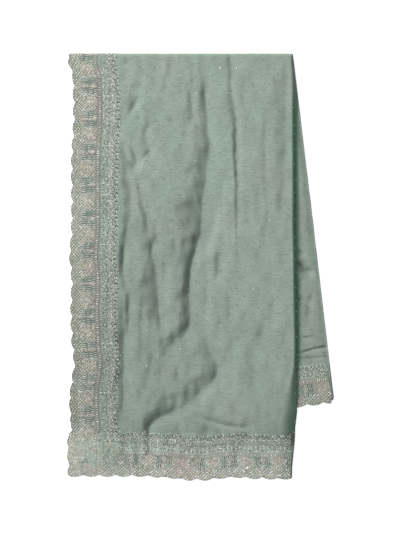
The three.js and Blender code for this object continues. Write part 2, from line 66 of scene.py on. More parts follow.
table_half = 4
table_level = -0.0004
corner_signs = ((-1, -1), (1, -1), (1, 1), (-1, 1))
table_mesh = bpy.data.meshes.new("table_top")
table_corners = [(table_half * x, table_half * y, table_level) for x, y in corner_signs]
table_mesh.from_pydata(table_corners, [], [(0, 1, 2, 3)])
table_mesh.materials.append(new_material("white_table", (0.9, 0.9, 0.9), 0.8, Emission_Color=(1, 1, 1, 1),
                                         Emission_Strength=0.6))
table_top = bpy.data.objects.new("table_top", table_mesh)
scene.collection.objects.link(table_top)


def window_light(name, place, size, power, colour):
    lamp = bpy.data.lights.new(name, "AREA")
    lamp.shape = "RECTANGLE"
    lamp.size, lamp.size_y = size
    lamp.energy = power
    lamp.color = colour
    light = bpy.data.objects.new(name, lamp)
    light.location = place
    light.rotation_mode = "QUATERNION"
    light.rotation_quaternion = (-light.location.normalized()).to_track_quat("-Z", "Y")  # towards the cloth
    scene.collection.objects.link(light)


window_light("window", (-4.0, 2.9, 3.1), (2.2, 2.2), 590, (1.0, 0.99, 0.97))
window_light("far_wall", (1.4, -0.5, 2.4), (1.6, 1.6), 12, (0.97, 0.99, 1.0))

world = bpy.data.worlds.new("pale_room")
world.use_nodes = True
world.node_tree.nodes["Background"].inputs["Color"].default_value = (0.95, 0.98, 1.0, 1)
world.node_tree.nodes["Background"].inputs["Strength"].default_value = 0.45
scene.world = world

view_height = 1.3  # metres of table that the view takes in, at view_level above it
view_level = 0.014
lens = 100
camera_data = bpy.data.cameras.new("camera")
camera_data.lens = lens
camera_data.clip_end = 20
camera = bpy.data.objects.new("camera", camera_data)
camera.location = (-0.0006, 0.0012, view_height * lens / camera_data.sensor_width + view_level)
scene.collection.objects.link(camera)
scene.camera = camera

# ---- Front cloth ----
# The plain field of the front half: a sage satin woven with slubbed threads, laid over
# the folded layers. It turns back under at the side fold and goes over the top fold.

front_pile = 10.2  # how high the front half's face lies above the table
back_pile = 7.6  # the same of the back half, which lifts the front half where both lie
turn_radius = 8.5
turn_y = 513.7  # from here the cloth goes round the top fold
border_seam_x = -198
hem_seam_y = -402.8
fold_reach = 3.8  # the roll of the front half's side fold, seen from above
fold_half = 1.75  # half its height
lip_end = 13  # how far the cloth goes back under it
fold_shoulder = 11  # how far in from the side fold the face begins to turn down
low_shoulder = 38  # the same in the lower part
fold_drop = 5
lowest_top = 5.4
back_tilt = math.radians(6.77)
back_corner = (226.8, 522.2)
back_width = 551
back_length = 861
drape_start = -14  # from the back half's hem, where the front half starts to come down off it
drape_run = 130

side_line = [(522, -321), (500, -323), (461, -312.7), (373, -311.5), (249, -316.3), (95, -316.6),
             (27, -321), (-32, -316.3), (-110, -318.5), (-188, -315.6), (-227, -310.5), (-325, -320.5),
             (-393, -316.6), (-430, -326.4), (-505, -325)]
fold_line = [(522, 226.8), (408, 232.7), (160, 233.6), (-200, 238), (-344, 237), (-403, 232.2), (-522, 223.5)]
hem_line = [(-330, -512.7), (-140, -512.7), (-96, -515), (-20, -522.2), (14, -522), (50, -517.3),
            (87, -515), (129, -518.3), (202, -519.5)]


def smooth(t):
    t = np.clip(t, 0, 1)
    return t * t * (3 - 2 * t)


def bump(distance, width):
    return np.exp(-((distance / width) ** 2))


def lerp(a, b, share):
    return a + (b - a) * share


def read_line(line, at):
    """The sideways place of a measured line, eased from each of its points to the next."""
    rows = np.array(sorted(line), float)
    i = np.clip(np.searchsorted(rows[:, 0], at) - 1, 0, len(rows) - 2)
    return lerp(rows[i, 1], rows[i + 1, 1], smooth((at - rows[i, 0]) / (rows[i + 1, 0] - rows[i, 0])))


def side_x(y):
    return read_line(side_line, y)


def fold_x(y):
    return read_line(fold_line, y)


def hem_y(x):
    return read_line(hem_line, x)


def to_back(x, y):
    """Places on the swung back half: u runs right to its side fold, v down from the top fold."""
    dx, dy = x - back_corner[0], y - back_corner[1]
    return (dx * math.cos(back_tilt) + dy * math.sin(back_tilt),
            dx * math.sin(back_tilt) - dy * math.cos(back_tilt))


def from_back(u, v):
    return (back_corner[0] + u * math.cos(back_tilt) + v * math.sin(back_tilt),
            back_corner[1] + u * math.sin(back_tilt) - v * math.cos(back_tilt))


def over_back(x, y):
    u, v = to_back(x, y)
    past_hem = smooth((v - back_length - drape_start) / drape_run)
    past_edge = smooth((-back_width - u) / drape_run)
    return (1 - past_hem) * (1 - past_edge)


# Creases, each along a given line at the right or lower foot of its slope. A point gives
# its place, the slope's width and its depth there. The last number is how far the easy slope
# beyond it reaches.
creases = [
    ([(2, 512, 10, 0.3), (4, 468, 12, 1.1), (10, 420, 17, 2.6), (16, 371, 27, 3.2), (20, 322, 34, 3.6),
      (21, 273, 37, 4.2), (16, 224, 37, 4.6), (7, 176, 39, 5), (3, 127, 44, 6.2), (3, 85, 46, 6.2),
      (-9, 51, 32, 5.8), (-20, 12, 24, 5.6), (-26, -32, 22, 4.8), (-26, -81, 24, 4.4), (-25, -129, 24, 3.9),
      (-37, -166, 27, 2.8), (-69, -195, 24, 1)], 30),
    ([(-40, -129, 17, 0.3), (-47, -161, 22, 1.8), (-74, -190, 22, 1.8), (-98, -217, 17, 0.5)], 20),
    ([(69, 529, 7, 0.8), (75, 468, 9, 1.3), (77, 420, 10, 1.5), (85, 378, 12, 1.8), (88, 329, 10, 2),
      (90, 298, 8, 2), (91, 268, 7, 2), (91, 224, 6, 1.7), (90, 190, 6, 1.4), (91, 150, 5, 1.2),
      (90, 120, 5, 1), (91, 80, 5, 0.9), (92, 50, 5, 0.2)], 10),
    ([(84, 305, 4, 0.2), (85, 275, 5, 1.2), (86, 235, 5, 1.1), (86, 205, 4, 0.2)], 5),
    ([(202, 490, 20, 0.4), (207, 420, 22, 1.6), (207, 334, 24, 1.8), (207, 249, 22, 1.6),
      (197, 151, 20, 0.8), (192, 78, 17, 0.2)], 24),
    ([(158, 383, 7, 0.2), (160, 310, 10, 0.7), (160, 249, 10, 0.8), (163, 151, 7, 0.6),
      (165, 41, 7, 0.2)], 10),
    ([(-157, 217, 9, 0.3), (-150, 200, 9, 1.4), (-140, 151, 12, 1.8), (-129, 102, 11, 1.6), (-124, 72, 10, 1),
      (-118, 48, 14, 2.2), (-114, 20, 17, 1.8), (-108, -20, 30, 3.6), (-104, -60, 38, 5),
      (-101, -100, 38, 5.4), (-97, -135, 30, 4.6), (-96, -165, 18, 0.8)], 24),
    ([(-181, 261, 12, 0.3), (-171, 188, 20, 2), (-171, 127, 17, 1.8), (-181, 78, 12, 1.6), (-184, 29, 12, 2),
      (-184, -12, 12, 1.8), (-184, -56, 10, 0.5)], 16),
    ([(-169, -44, 10, 0.4), (-169, -81, 12, 1.6), (-171, -117, 15, 2.2), (-171, -161, 12, 1.4),
      (-171, -203, 10, 0.3)], 14),
    ([(-145, -44, 10, 0.2), (-142, -93, 10, 0.8), (-145, -154, 12, 1.3), (-147, -203, 10, 0.2)], 12),
    ([(-191, -129, 10, 0.6), (-187, -166, 15, 3.2), (-187, -203, 15, 2.8), (-187, -251, 15, 3),
      (-187, -305, 15, 3), (-187, -349, 12, 1.6), (-186, -393, 10, 0.8)], 18),
    ([(-123, -166, 7, 0.3), (-119, -203, 12, 1.5), (-118, -251, 12, 1.4), (-120, -288, 10, 0.6),
      (-123, -329, 7, 0.2)], 10),
    ([(-88, -190, 20, 0.4), (-86, -227, 22, 1.4), (-84, -276, 22, 1), (-88, -325, 24, 1.2),
      (-98, -354, 20, 0.4)], 22),
    ([(43, 61, 10, 0.3), (46, 27, 15, 1.8), (46, -7, 20, 2.2), (38, -41, 15, 0.8)], 18),
    ([(14, 51, 17, 0.3), (15, 12, 20, 1.6), (16, -44, 20, 2), (16, -81, 20, 2.2), (9, -124, 17, 0.8)], 12),
    ([(-25, -134, 20, 0.5), (7, -168, 27, 2.4), (21, -203, 32, 3.4), (38, -232, 37, 3.4),
      (43, -266, 27, 2)], 26),
    ([(46, -249, 17, 1.2), (31, -278, 30, 2.8), (4, -300, 36, 3.2), (-15, -322, 36, 3.8),
      (-40, -340, 36, 4.2), (-64, -353, 33, 4.2), (-90, -364, 27, 4.6), (-109, -374, 22, 4.3),
      (-122, -386, 18, 3.6), (-125, -406, 14, 2.9), (-126, -430, 9, 2.0), (-126, -450, 7, 1.3),
      (-136, -470, 6, 1.1), (-141, -484, 4, 0.2)], 20),
    ([(-64, -334, 15, 0.3), (-66, -354, 17, 1.6), (-54, -378, 17, 2.2), (-49, -405, 15, 0.8)], 14),
    ([(-40, -351, 6, 1.0), (-1, -368, 6, 1.9), (43, -383, 6, 2.0), (85, -392, 6, 2.0),
      (121, -393, 5, 0.4)], 7),
    ([(77, -190, 12, 0.4), (77, -232, 15, 1.6), (75, -276, 15, 1.3), (68, -312, 10, 0.2)], 16),
    ([(60, -203, 7, 0.2), (63, -239, 10, 0.9), (60, -276, 7, 0.3)], 8),
    ([(126, -154, 17, 0.2), (128, -203, 20, 0.6), (126, -251, 20, 0.7), (124, -281, 20, 0.5),
      (120, -312, 17, 0.2)], 22),
    ([(153, -134, 10, 0.2), (151, -166, 15, 0.5), (148, -203, 10, 0.2)], 12),
    ([(-187, 54, 5, 0.3), (-187, 40, 6, 1.2), (-188, 10, 6, 1.3), (-189, -22, 5, 0.4)], 6),
    ([(-176, -63, 4, 0.3), (-176, -90, 4, 1.3), (-175, -130, 4, 1.3), (-176, -158, 4, 0.3)], 5),
    ([(-121, 60, 5, 0.2), (-118, 48, 6, 0.9), (-117, 34, 6, 0.8), (-118, 22, 4, 0.2)], 6),
    ([(-150, 240, 5, 0.2), (-140, 262, 6, 1.1), (-126, 276, 6, 1.0), (-110, 282, 5, 0.2)], 6),
    ([(-130, 330, 5, 0.2), (-118, 345, 6, 0.9), (-100, 352, 6, 0.8), (-84, 350, 5, 0.2)], 6),
    ([(-188, 290, 7, 0.3), (-176, 261, 10, 1.4), (-162, 244, 10, 1.8), (-142, 234, 7, 0.4)], 9),
    ([(-164, 232, 7, 0.3), (-152, 261, 10, 1.4), (-162, 285, 10, 1.4), (-179, 310, 7, 0.3)], 9),
    ([(-179, 349, 7, 0.3), (-167, 378, 10, 1.4), (-154, 400, 10, 1.3), (-145, 415, 7, 0.1)], 9),
    ([(-167, 412, 7, 0.3), (-154, 388, 10, 1.3), (-149, 359, 7, 0.5)], 8),
    ([(-181, 447, 7, 0.3), (-152, 434, 10, 1.2), (-118, 425, 10, 1.2), (-74, 427, 7, 0.2)], 10),
    ([(-40, 447, 15, 0.3), (-25, 417, 17, 1.6), (-20, 378, 15, 1.5), (-25, 339, 12, 0.3)], 12),
    ([(-145, 346, 12, 0.3), (-132, 322, 15, 1.1), (-123, 281, 15, 1.2), (-132, 242, 10, 0.2)], 10),
    ([(-91, 29, 7, 0.2), (-86, -2, 10, 1.3), (-81, -41, 10, 1.3), (-79, -76, 7, 0.2)], 10),
    ([(63, 249, 17, 0.3), (58, 212, 20, 1.4), (48, 168, 20, 1.4), (38, 127, 20, 1.6), (26, 66, 20, 1.3),
      (19, 37, 15, 0.3)], 16),
    ([(-132, 151, 12, 0.4), (-118, 115, 15, 1.6), (-103, 71, 17, 1.4), (-108, 41, 12, 0.3)], 14),
]
crease_step = 8  # between the points that a crease is drawn through
crease_strength = 1.12


def soft_line(points):
    """A smooth line through given points, as evenly spaced ones."""
    p = np.array(points, float)
    p = np.vstack([2 * p[0] - p[1], p, 2 * p[-1] - p[-2]])
    out = []
    for k in range(1, len(p) - 2):
        steps = max(2, int(np.hypot(*(p[k + 1] - p[k])[:2]) / crease_step))
        for t in np.arange(steps) / steps:
            out.append(0.5 * (2 * p[k] + (p[k + 1] - p[k - 1]) * t
                              + (2 * p[k - 1] - 5 * p[k] + 4 * p[k + 1] - p[k + 2]) * t ** 2
                              + (3 * p[k] - 3 * p[k + 1] + p[k + 2] - p[k - 1]) * t ** 3))
    return np.array(out + [p[-2]])


def crease_height(x, y, crease, wander):
    """How far one crease lowers the cloth. wander makes its edge and depth uneven."""
    points, right = crease
    line = soft_line(points)
    far = 2.6 * max(line[:, 2].max(), right)
    near = ((x > line[:, 0].min() - far) & (x < line[:, 0].max() + far)
            & (y > line[:, 1].min() - far) & (y < line[:, 1].max() + far))
    px, py = x[near], y[near]
    shake = np.sin(py / 5.1 + px / 7.3 + wander) + np.sin(py / 11.7 - px / 13.1 + 2.1 * wander)
    px = px + 0.6 * shake
    best = np.full(px.shape, np.inf)
    across, width, depth = np.zeros(px.shape), np.ones(px.shape), np.zeros(px.shape)
    for k in range(len(line) - 1):
        (ax, ay, aw, ad), (bx, by, bw, bd) = line[k], line[k + 1]
        dx, dy = bx - ax, by - ay
        t = np.clip(((px - ax) * dx + (py - ay) * dy) / (dx * dx + dy * dy), 0, 1)
        away = np.hypot(px - ax - t * dx, py - ay - t * dy)
        closer = away < best
        side = np.where((dx * (py - ay) - dy * (px - ax)) > 0, 1.0, -1.0)
        best = np.where(closer, away, best)
        across = np.where(closer, side * away, across)
        width = np.where(closer, lerp(aw, bw, t), width)
        depth = np.where(closer, lerp(ad, bd, t), depth)
    uneven = 1 + 0.16 * np.sin(py / 17 + wander) + 0.1 * np.sin(py / 7 + 2 * wander)
    slope = np.clip(1 - np.abs(across) / (1.35 * width * uneven), 0, 1) ** 1.5
    drop = np.where(across < 0, slope, bump(across, np.minimum(right, 2.5 * width)))
    out = np.zeros(x.shape)
    out[near] = -crease_strength * depth * drop
    return out


# Slow waves that any laid cloth has, mostly running down it.
waves = np.random.default_rng(7)
wave_count = 40
wave_across = waves.uniform(1 / 95, 1 / 24, wave_count) * waves.choice([-1, 1], wave_count)
wave_down = waves.uniform(-1 / 90, 1 / 90, wave_count)
wave_start = waves.uniform(0, 2 * math.pi, wave_count)


def ripple(x, y):
    out = np.zeros(np.shape(x))
    for across, down, start in zip(wave_across, wave_down, wave_start):
        size = 0.0011 / abs(across) ** 0.9
        out += size * np.sin(2 * math.pi * (across * x + down * y) + start + 1.3 * np.sin(y / 70 + start))
    return out


# Small crumples, most of them in the left and lower part.
crumples = np.random.default_rng(17)
crumple_count = 90
crumple_long = crumples.uniform(13, 44, crumple_count)
crumple_turn = crumples.normal(0, 0.75, crumple_count)
crumple_start = crumples.uniform(0, 2 * math.pi, (2, crumple_count))


def crumple(x, y):
    out = np.zeros(np.shape(x))
    for long, turn, (start, lag) in zip(crumple_long, crumple_turn, crumple_start.T):
        way = 2 * math.pi / long * (x * math.cos(turn) + 0.6 * y * math.sin(turn))
        out += 0.0009 * long * np.sin(way + start + 1.6 * np.sin(y / (2.2 * long) + x / (3 * long) + lag))
    here = 0.35 + 0.65 * smooth((70 - x) / 130) + 0.5 * bump(x + 60, 90) * bump(y + 260, 120)
    return out * here


# The creases and waves, worked out once on a fine net and read from it after.
net_step = 2.0
net_x = np.arange(-340, 262, net_step)
net_y = np.arange(-536, 536, net_step)
net_places = np.meshgrid(net_x, net_y)
net_height = ripple(*net_places) + crumple(*net_places)
from_patch = np.hypot(net_places[0] + 45, net_places[1] - 130)
net_height *= 1 - 0.85 * bump(from_patch, 42)  # one round patch lies nearly flat
for number, crease in enumerate(creases):
    net_height += crease_height(*net_places, crease, number * 1.7)
for _ in range(3):
    for axis in (0, 1):
        net_height = (np.roll(net_height, 1, axis) + 2 * net_height + np.roll(net_height, -1, axis)) / 4


def read_net(x, y):
    i = np.clip((x - net_x[0]) / net_step, 0, len(net_x) - 1.001)
    j = np.clip((y - net_y[0]) / net_step, 0, len(net_y) - 1.001)
    i0, j0 = i.astype(int), j.astype(int)
    fi, fj = i - i0, j - j0
    upper = lerp(net_height[j0, i0], net_height[j0, i0 + 1], fi)
    lower = lerp(net_height[j0 + 1, i0], net_height[j0 + 1, i0 + 1], fi)
    return lerp(upper, lower, fj)


def front_top(x, y):
    """Height of the front cloth's upper face."""
    z = front_pile + back_pile * over_back(x, y)
    z = z - 2 * bump(x - side_x(y), 30) - 1.4 * bump(y - hem_y(x), 30)
    shoulder = lerp(fold_shoulder, low_shoulder, smooth((-235 - y) / 110))
    drop = fold_drop * lerp(0.35, 1, smooth((480 - y) / 110)) * lerp(1, 1.2, smooth((-235 - y) / 110))
    drop = drop * lerp(1, 0.72, smooth((-420 - y) / 60))
    z = z - drop * np.clip(1 - (fold_x(y) - x) / shoulder, 0, 1) ** 2
    z = z + read_net(x, y)
    # No crease goes below lowest_top: it is eased towards it.
    return lowest_top + np.logaddexp(0, 1.2 * (z - lowest_top)) / 1.2


def on_front(x, y, proud=0.0):
    """A point on the front cloth. Past the top fold, y runs on round it to the underside."""
    x, y = np.broadcast_arrays(np.asarray(x, float), np.asarray(y, float))
    flat = front_top(x, np.minimum(y, turn_y))
    angle = math.pi / 2 - np.maximum(y - turn_y, 0) / turn_radius
    turned = y > turn_y
    round_y = turn_y + (turn_radius + proud) * np.cos(angle)
    round_z = flat / 2 + (flat / 2 + proud) * np.sin(angle)
    return np.stack([x, np.where(turned, round_y, y), np.where(turned, round_z, flat + proud)], -1)


roll_steps = 9


def side_roll(edge, at, reach):
    """The folded side of a cloth in section: over, round and a little way back under."""
    rings = []
    for angle in np.linspace(math.pi / 2, -math.pi / 2, roll_steps)[1:]:
        rings.append(at(edge - reach * (1 - math.cos(angle)), fold_half * (math.sin(angle) - 1)))
    rings.append(at(edge - lip_end, -2 * fold_half))
    return rings


def face_rows(rows, columns):
    number = np.arange(rows * columns).reshape(rows, columns)
    return np.stack([number[:-1, :-1], number[:-1, 1:], number[1:, 1:], number[1:, :-1]], -1).reshape(-1, 4)


def outline(rows, columns):
    """The numbers of the points round the outside of a net of points."""
    number = np.arange(rows * columns).reshape(rows, columns)
    return np.concatenate([number[0, :-1], number[:-1, -1], number[-1, :0:-1], number[:0:-1, 0]])


def new_piece(name, points, faces, materials, maps, tint=None, marks=None):
    """Makes a piece from points in millimetres and faces as lists. maps are its flat layouts,
    tint the ground colour of each point and marks the material of each face."""
    mesh = bpy.data.meshes.new(name)
    mesh.from_pydata((points * MM).tolist(), [], faces)
    corner = np.empty(len(mesh.loops), int)
    mesh.loops.foreach_get("vertex_index", corner)
    for key, flat in maps.items():
        mesh.uv_layers.new(name=key).data.foreach_set("uv", flat[corner].astype(np.float32).ravel())
    if tint is not None:
        colours = np.ones((len(points), 4), np.float32)
        colours[:, :3] = tint
        ground = mesh.color_attributes.new("ground", "FLOAT_COLOR", "POINT")
        ground.data.foreach_set("color", colours.ravel())
    for material in materials:
        mesh.materials.append(material)
    if marks is not None:
        mesh.polygons.foreach_set("material_index", marks.astype(np.int32))
    mesh.polygons.foreach_set("use_smooth", np.ones(len(mesh.polygons), bool))
    mesh.update()
    piece = bpy.data.objects.new(name, mesh)
    scene.collection.objects.link(piece)
    return piece


def cloth_piece(name, upper, material, weave, tint, lower=None):
    """A stretch of cloth through rows of points. With lower it is a wall with real edges."""
    rows, columns = upper.shape[:2]
    faces = face_rows(rows, columns)
    points = upper.reshape(-1, 3)
    sides = points[faces[:, 1]] - points[faces[:, 0]], points[faces[:, 3]] - points[faces[:, 0]]
    upward = np.cross(*sides)[:, 2].sum() > 0
    faces = faces if upward else faces[:, ::-1]
    share = np.meshgrid(np.arange(columns) / (columns - 1), np.arange(rows) / (rows - 1))
    share = np.stack(share, -1).reshape(-1, 2)
    weave = weave.reshape(-1, 2) * MM
    tint = tint.reshape(-1, 3)
    if lower is not None:
        loop = outline(rows, columns)
        ahead = np.roll(loop, -1)
        below = rows * columns
        rim = np.stack([loop, loop + below, ahead + below, ahead], -1)
        faces = np.vstack([faces, faces[:, ::-1] + below, rim if upward else rim[:, ::-1]])
        points = np.vstack([points, lower.reshape(-1, 3)])
        # The two faces of the wall lie side by side in the layout.
        narrow = np.array([0.49, 1.0]) if rows > columns else np.array([1.0, 0.49])
        share = np.vstack([share * narrow, share * narrow + (1 - narrow)])
        weave, tint = np.vstack([weave, weave]), np.vstack([tint, tint])
    piece = new_piece(name, points, faces.tolist(), [material], {"OFBake": share, "weave": weave}, tint)
    if lower is not None:
        piece.data.set_sharp_from_angle(angle=math.radians(50))
    return piece


def group_tree(name, inputs, outputs):
    tree = bpy.data.node_groups.new(name, "ShaderNodeTree")
    for label, kind, value in inputs:
        socket = tree.interface.new_socket(name=label, in_out="INPUT", socket_type=kind)
        if value is not None:
            socket.default_value = value
    for label, kind in outputs:
        tree.interface.new_socket(name=label, in_out="OUTPUT", socket_type=kind)
    return tree, tree.nodes.new("NodeGroupInput"), tree.nodes.new("NodeGroupOutput")


def add_node(tree, kind, links=None, **settings):
    """A node with its settings, and with links or values for its inputs."""
    node = tree.nodes.new(kind)
    for key, value in settings.items():
        setattr(node, key, value)
    for key, value in (links or {}).items():
        if isinstance(value, bpy.types.NodeSocket):
            tree.links.new(value, node.inputs[key])
        else:
            node.inputs[key].default_value = value
    return node


def math_node(tree, operation, first, second):
    return add_node(tree, "ShaderNodeMath", {0: first, 1: second}, operation=operation).outputs[0]


def multiplied(tree, first, second):
    return add_node(tree, "ShaderNodeVectorMath", {0: first, 1: second}, operation="MULTIPLY").outputs[0]


def scaled(tree, vector, factor):
    return add_node(tree, "ShaderNodeVectorMath", {0: vector, "Scale": factor}, operation="SCALE").outputs[0]


def mixed(tree, factor, first, second):
    return add_node(tree, "ShaderNodeMix", {"Factor": factor, 4: first, 5: second},
                    data_type="VECTOR").outputs[1]


def mapped(tree, value, low, high, to_low=0.0, to_high=1.0):
    """Takes a value between low and high to one between to_low and to_high."""
    return add_node(tree, "ShaderNodeMapRange", {"Value": value, "From Min": low, "From Max": high,
                                                 "To Min": to_low, "To Max": to_high}).outputs[0]


def slub_weave():
    """Satin woven with uneven threads: fine lines across the cloth, darker slubs, and broad
    soft patches of tone."""
    tree, given, made = group_tree(
        "slub_weave",
        [("Place", "NodeSocketVector", None), ("Ground", "NodeSocketColor", (0.3, 0.36, 0.31, 1)),
         ("Slub", "NodeSocketFloat", 0.1), ("Patches", "NodeSocketFloat", 0.06)],
        [("Color", "NodeSocketColor"), ("Roughness", "NodeSocketFloat"), ("Height", "NodeSocketFloat")])

    def noise(stretch, detail):
        place = multiplied(tree, given.outputs["Place"], stretch)
        return add_node(tree, "ShaderNodeTexNoise", {"Vector": place, "Scale": 1.0, "Detail": detail},
                        noise_dimensions="2D").outputs["Fac"]

    threads = noise((75, 330, 0), 1.5)
    slubs = noise((34, 190, 0), 2.5)
    fine = noise((270, 300, 0), 1.0)
    patches = noise((30, 17, 0), 4.0)
    cast = noise((11, 7, 0), 4.0)
    tone = None
    for value, reach in ((threads, 0.35), (slubs, 0.25), (fine, 0.4)):
        part = math_node(tree, "MULTIPLY", mapped(tree, value, 0.3, 0.7, -1.0, 1.0), reach)
        tone = part if tone is None else math_node(tree, "ADD", tone, part)
    tone = math_node(tree, "MULTIPLY", tone, given.outputs["Slub"])
    broad = math_node(tree, "MULTIPLY", mapped(tree, patches, 0.3, 0.7, -1.0, 1.0), given.outputs["Patches"])
    total = math_node(tree, "ADD", math_node(tree, "ADD", tone, broad), 1.0)
    warmth = mixed(tree, mapped(tree, cast, 0.38, 0.62), (0.965, 1.0, 0.975), (1.04, 1.0, 1.01))
    ground = multiplied(tree, given.outputs["Ground"], warmth)
    tree.links.new(scaled(tree, ground, total), made.inputs["Color"])
    tree.links.new(mapped(tree, threads, 0.2, 0.8, 0.42, 0.6), made.inputs["Roughness"])
    height = math_node(tree, "ADD", math_node(tree, "ADD", threads, fine), slubs)
    tree.links.new(height, made.inputs["Height"])
    return tree


def slope_shade_paint():
    """Painted shade: slopes that face away from the window are painted darker and greyer."""
    tree, given, made = group_tree(
        "slope_shade_paint", [("Color", "NodeSocketColor", (0.3, 0.36, 0.31, 1))], [("Color", "NodeSocketColor")])
    normal = add_node(tree, "ShaderNodeNewGeometry").outputs["Normal"]
    slope = add_node(tree, "ShaderNodeVectorMath", {0: normal, 1: (0.86, -0.5, 0)}, operation="DOT_PRODUCT")
    away = mapped(tree, slope.outputs["Value"], 0.015, 0.23)
    shade = mixed(tree, away, (1, 1, 1), (0.355, 0.362, 0.357))
    tree.links.new(multiplied(tree, given.outputs["Color"], shade), made.inputs["Color"])
    return tree


weave_group = slub_weave()
slope_shade_group = slope_shade_paint()
sage = srgb(122, 135, 125)
fold_shade_green = srgb(64, 132, 100)


def satin_material(name, ground, slub, patches, bump_size=0.1):
    """Satin with slubs. Where ground is None the piece holds its own ground colours."""
    material = new_material(name, sage, 0.5, Sheen_Weight=0.22, Sheen_Roughness=0.35, Specular_IOR_Level=0.3)
    tree = material.node_tree
    shader = tree.nodes["Principled BSDF"]
    place = add_node(tree, "ShaderNodeUVMap", uv_map="weave").outputs[0]
    weave = add_node(tree, "ShaderNodeGroup", node_tree=weave_group)
    tree.links.new(place, weave.inputs["Place"])
    if ground is None:
        painted = add_node(tree, "ShaderNodeAttribute", attribute_name="ground").outputs["Color"]
        tree.links.new(painted, weave.inputs["Ground"])
    else:
        weave.inputs["Ground"].default_value = (*ground, 1)
    weave.inputs["Slub"].default_value = slub
    weave.inputs["Patches"].default_value = patches
    # Slopes that face away from the window get painted shade.
    slope_shade = add_node(tree, "ShaderNodeGroup", node_tree=slope_shade_group)
    tree.links.new(weave.outputs["Color"], slope_shade.inputs["Color"])
    tree.links.new(slope_shade.outputs["Color"], shader.inputs["Base Color"])
    tree.links.new(weave.outputs["Roughness"], shader.inputs["Roughness"])
    relief = add_node(tree, "ShaderNodeBump", {"Height": weave.outputs["Height"], "Strength": bump_size,
                                               "Distance": 0.0006})
    tree.links.new(relief.outputs[0], shader.inputs["Normal"])
    return material


sage_satin = satin_material("sage_satin", None, 0.2, 0.07)

# Columns stand closer together where the creases run.
field_columns = 176
field_rows = 300
field_end = 232
fine_x = np.linspace(border_seam_x, field_end, 2000)
crowding = 1 + 1.6 * bump(fine_x - 78, 16) + 0.7 * bump(fine_x + 20, 60) + 1.2 * bump(fine_x - field_end, 26)
crowding = np.cumsum(crowding)
even_steps = np.linspace(crowding[0], crowding[-1], field_columns)
column_share = np.interp(even_steps, crowding, np.linspace(0, 1, len(fine_x)))
turn_end = turn_y + math.pi * turn_radius


def down_cloth(bottom, count):
    """Stations down a cloth from under its top fold, close together round the fold."""
    round_fold = np.linspace(turn_end, turn_y, 14)[:-1]
    return np.concatenate([round_fold, np.linspace(turn_y, bottom, count)])[:, None]


def tinted(ground, colour, amount):
    amount = np.clip(amount, 0, 1)[..., None]
    return np.array(ground) * (1 - amount) + np.array(colour) * amount


y = down_cloth(hem_seam_y, field_rows)
edge = fold_x(np.minimum(y, turn_y))
flat_part = on_front(lerp(border_seam_x, edge - fold_reach, column_share[None, :]), y)
rolled_part = side_roll(edge, lambda at_x, proud: on_front(at_x, y, proud), fold_reach)
front_points = np.concatenate([flat_part, *rolled_part], 1)
x, down = front_points[..., 0], np.broadcast_to(y, front_points.shape[:2])

# Painted shade: the satin is painted a little darker towards the lower left, and deep green where it turns
# down at the side fold.
to_fold = fold_x(np.minimum(down, turn_y)) - x
fold_shade_reach = lerp(12, 27, smooth((-250 - down) / 90))
fold_shade_share = 0.9 * smooth((455 - down) / 90) * lerp(0.55, 1, smooth((down + 300) / 90))
fold_shade_share = fold_shade_share * smooth(1.15 - to_fold / fold_shade_reach)
lower_left_shade = smooth((230 - down) / 140) * smooth((60 - x) / 90)
front_tint = tinted(np.array(sage) * (1 - 0.1 * lower_left_shade)[..., None], fold_shade_green, fold_shade_share)
front_cloth = cloth_piece("front_cloth", front_points, sage_satin, np.stack([x, down], -1), front_tint)
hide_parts("front_panel")
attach(front_cloth, "root")

# ---- Side border ----
# A separate band of the same satin down the left, cut to scallops and seamed to the
# field, its whole face worked with thread, so that the ground only shows in places.

cloth_thickness = 1.3
side_pitch = 40.16
side_notch = 480.7
scallop_depth = 6
side_ladder = (62.5, 72)  # the rails of the band of rungs, in from the crest line of the scallops
side_inner = 118

# The ground under the work is darker and greyer than the open satin: partly the ground's own colour, partly
# painted shade between the stitches.
net_ground = srgb(108, 112, 104)
silver_ground = srgb(100, 104, 96)
rose_ground = srgb(108, 107, 98)
green_ground = srgb(96, 114, 104)
soft_ground = srgb(114, 124, 115)
dark_ground = srgb(104, 108, 100)


def scallop(place, notch, pitch):
    """How far a scalloped edge draws back from its crest line."""
    turns = (place - notch) / pitch
    across = 2 * (turns - np.floor(turns)) - 1
    return scallop_depth * across * across


def band(value, low, high, soft=2.0):
    return smooth((value - low) / soft + 0.5) * smooth((high - value) / soft + 0.5)


def from_large(s, pitch):
    """How far a place is from the nearest large flower. They stand at every other notch."""
    return np.abs(s / pitch - 2 * np.round(s / pitch / 2)) * pitch


def border_ground(s, d, pitch, ladder, inner):
    """The ground colours of a border at s along it, from a notch, and d in from its crests."""
    from_flower = from_large(s, pitch)
    from_small = pitch - from_flower
    motif = band(d, 22, ladder[0], 4)
    ground = tinted(soft_ground, net_ground, band(d, -20, 24, 4))
    ground = tinted(ground, silver_ground, motif)
    ground = tinted(ground, rose_ground, 0.55 * motif * bump(from_flower, 13) * bump(d - 48, 14))
    ground = tinted(ground, green_ground, 0.85 * motif * bump(from_small - 18, 4.5))
    ground = tinted(ground, green_ground, 0.5 * motif * bump(from_small - 8.5, 5))
    ground = tinted(ground, dark_ground, 0.9 * band(d, ladder[0], ladder[1]))
    return tinted(ground, sage, smooth((d - inner + 9) / 9))


def side_ground(x, y, lag=0):
    """The ground colours of the side border, its scallops moved up by lag."""
    in_border = x - side_x(np.minimum(y, turn_y))
    return border_ground(side_notch + lag - y, in_border, side_pitch, side_ladder, side_inner)


embroidered_satin = satin_material("embroidered_satin", None, 0.1, 0.08, 0.25)

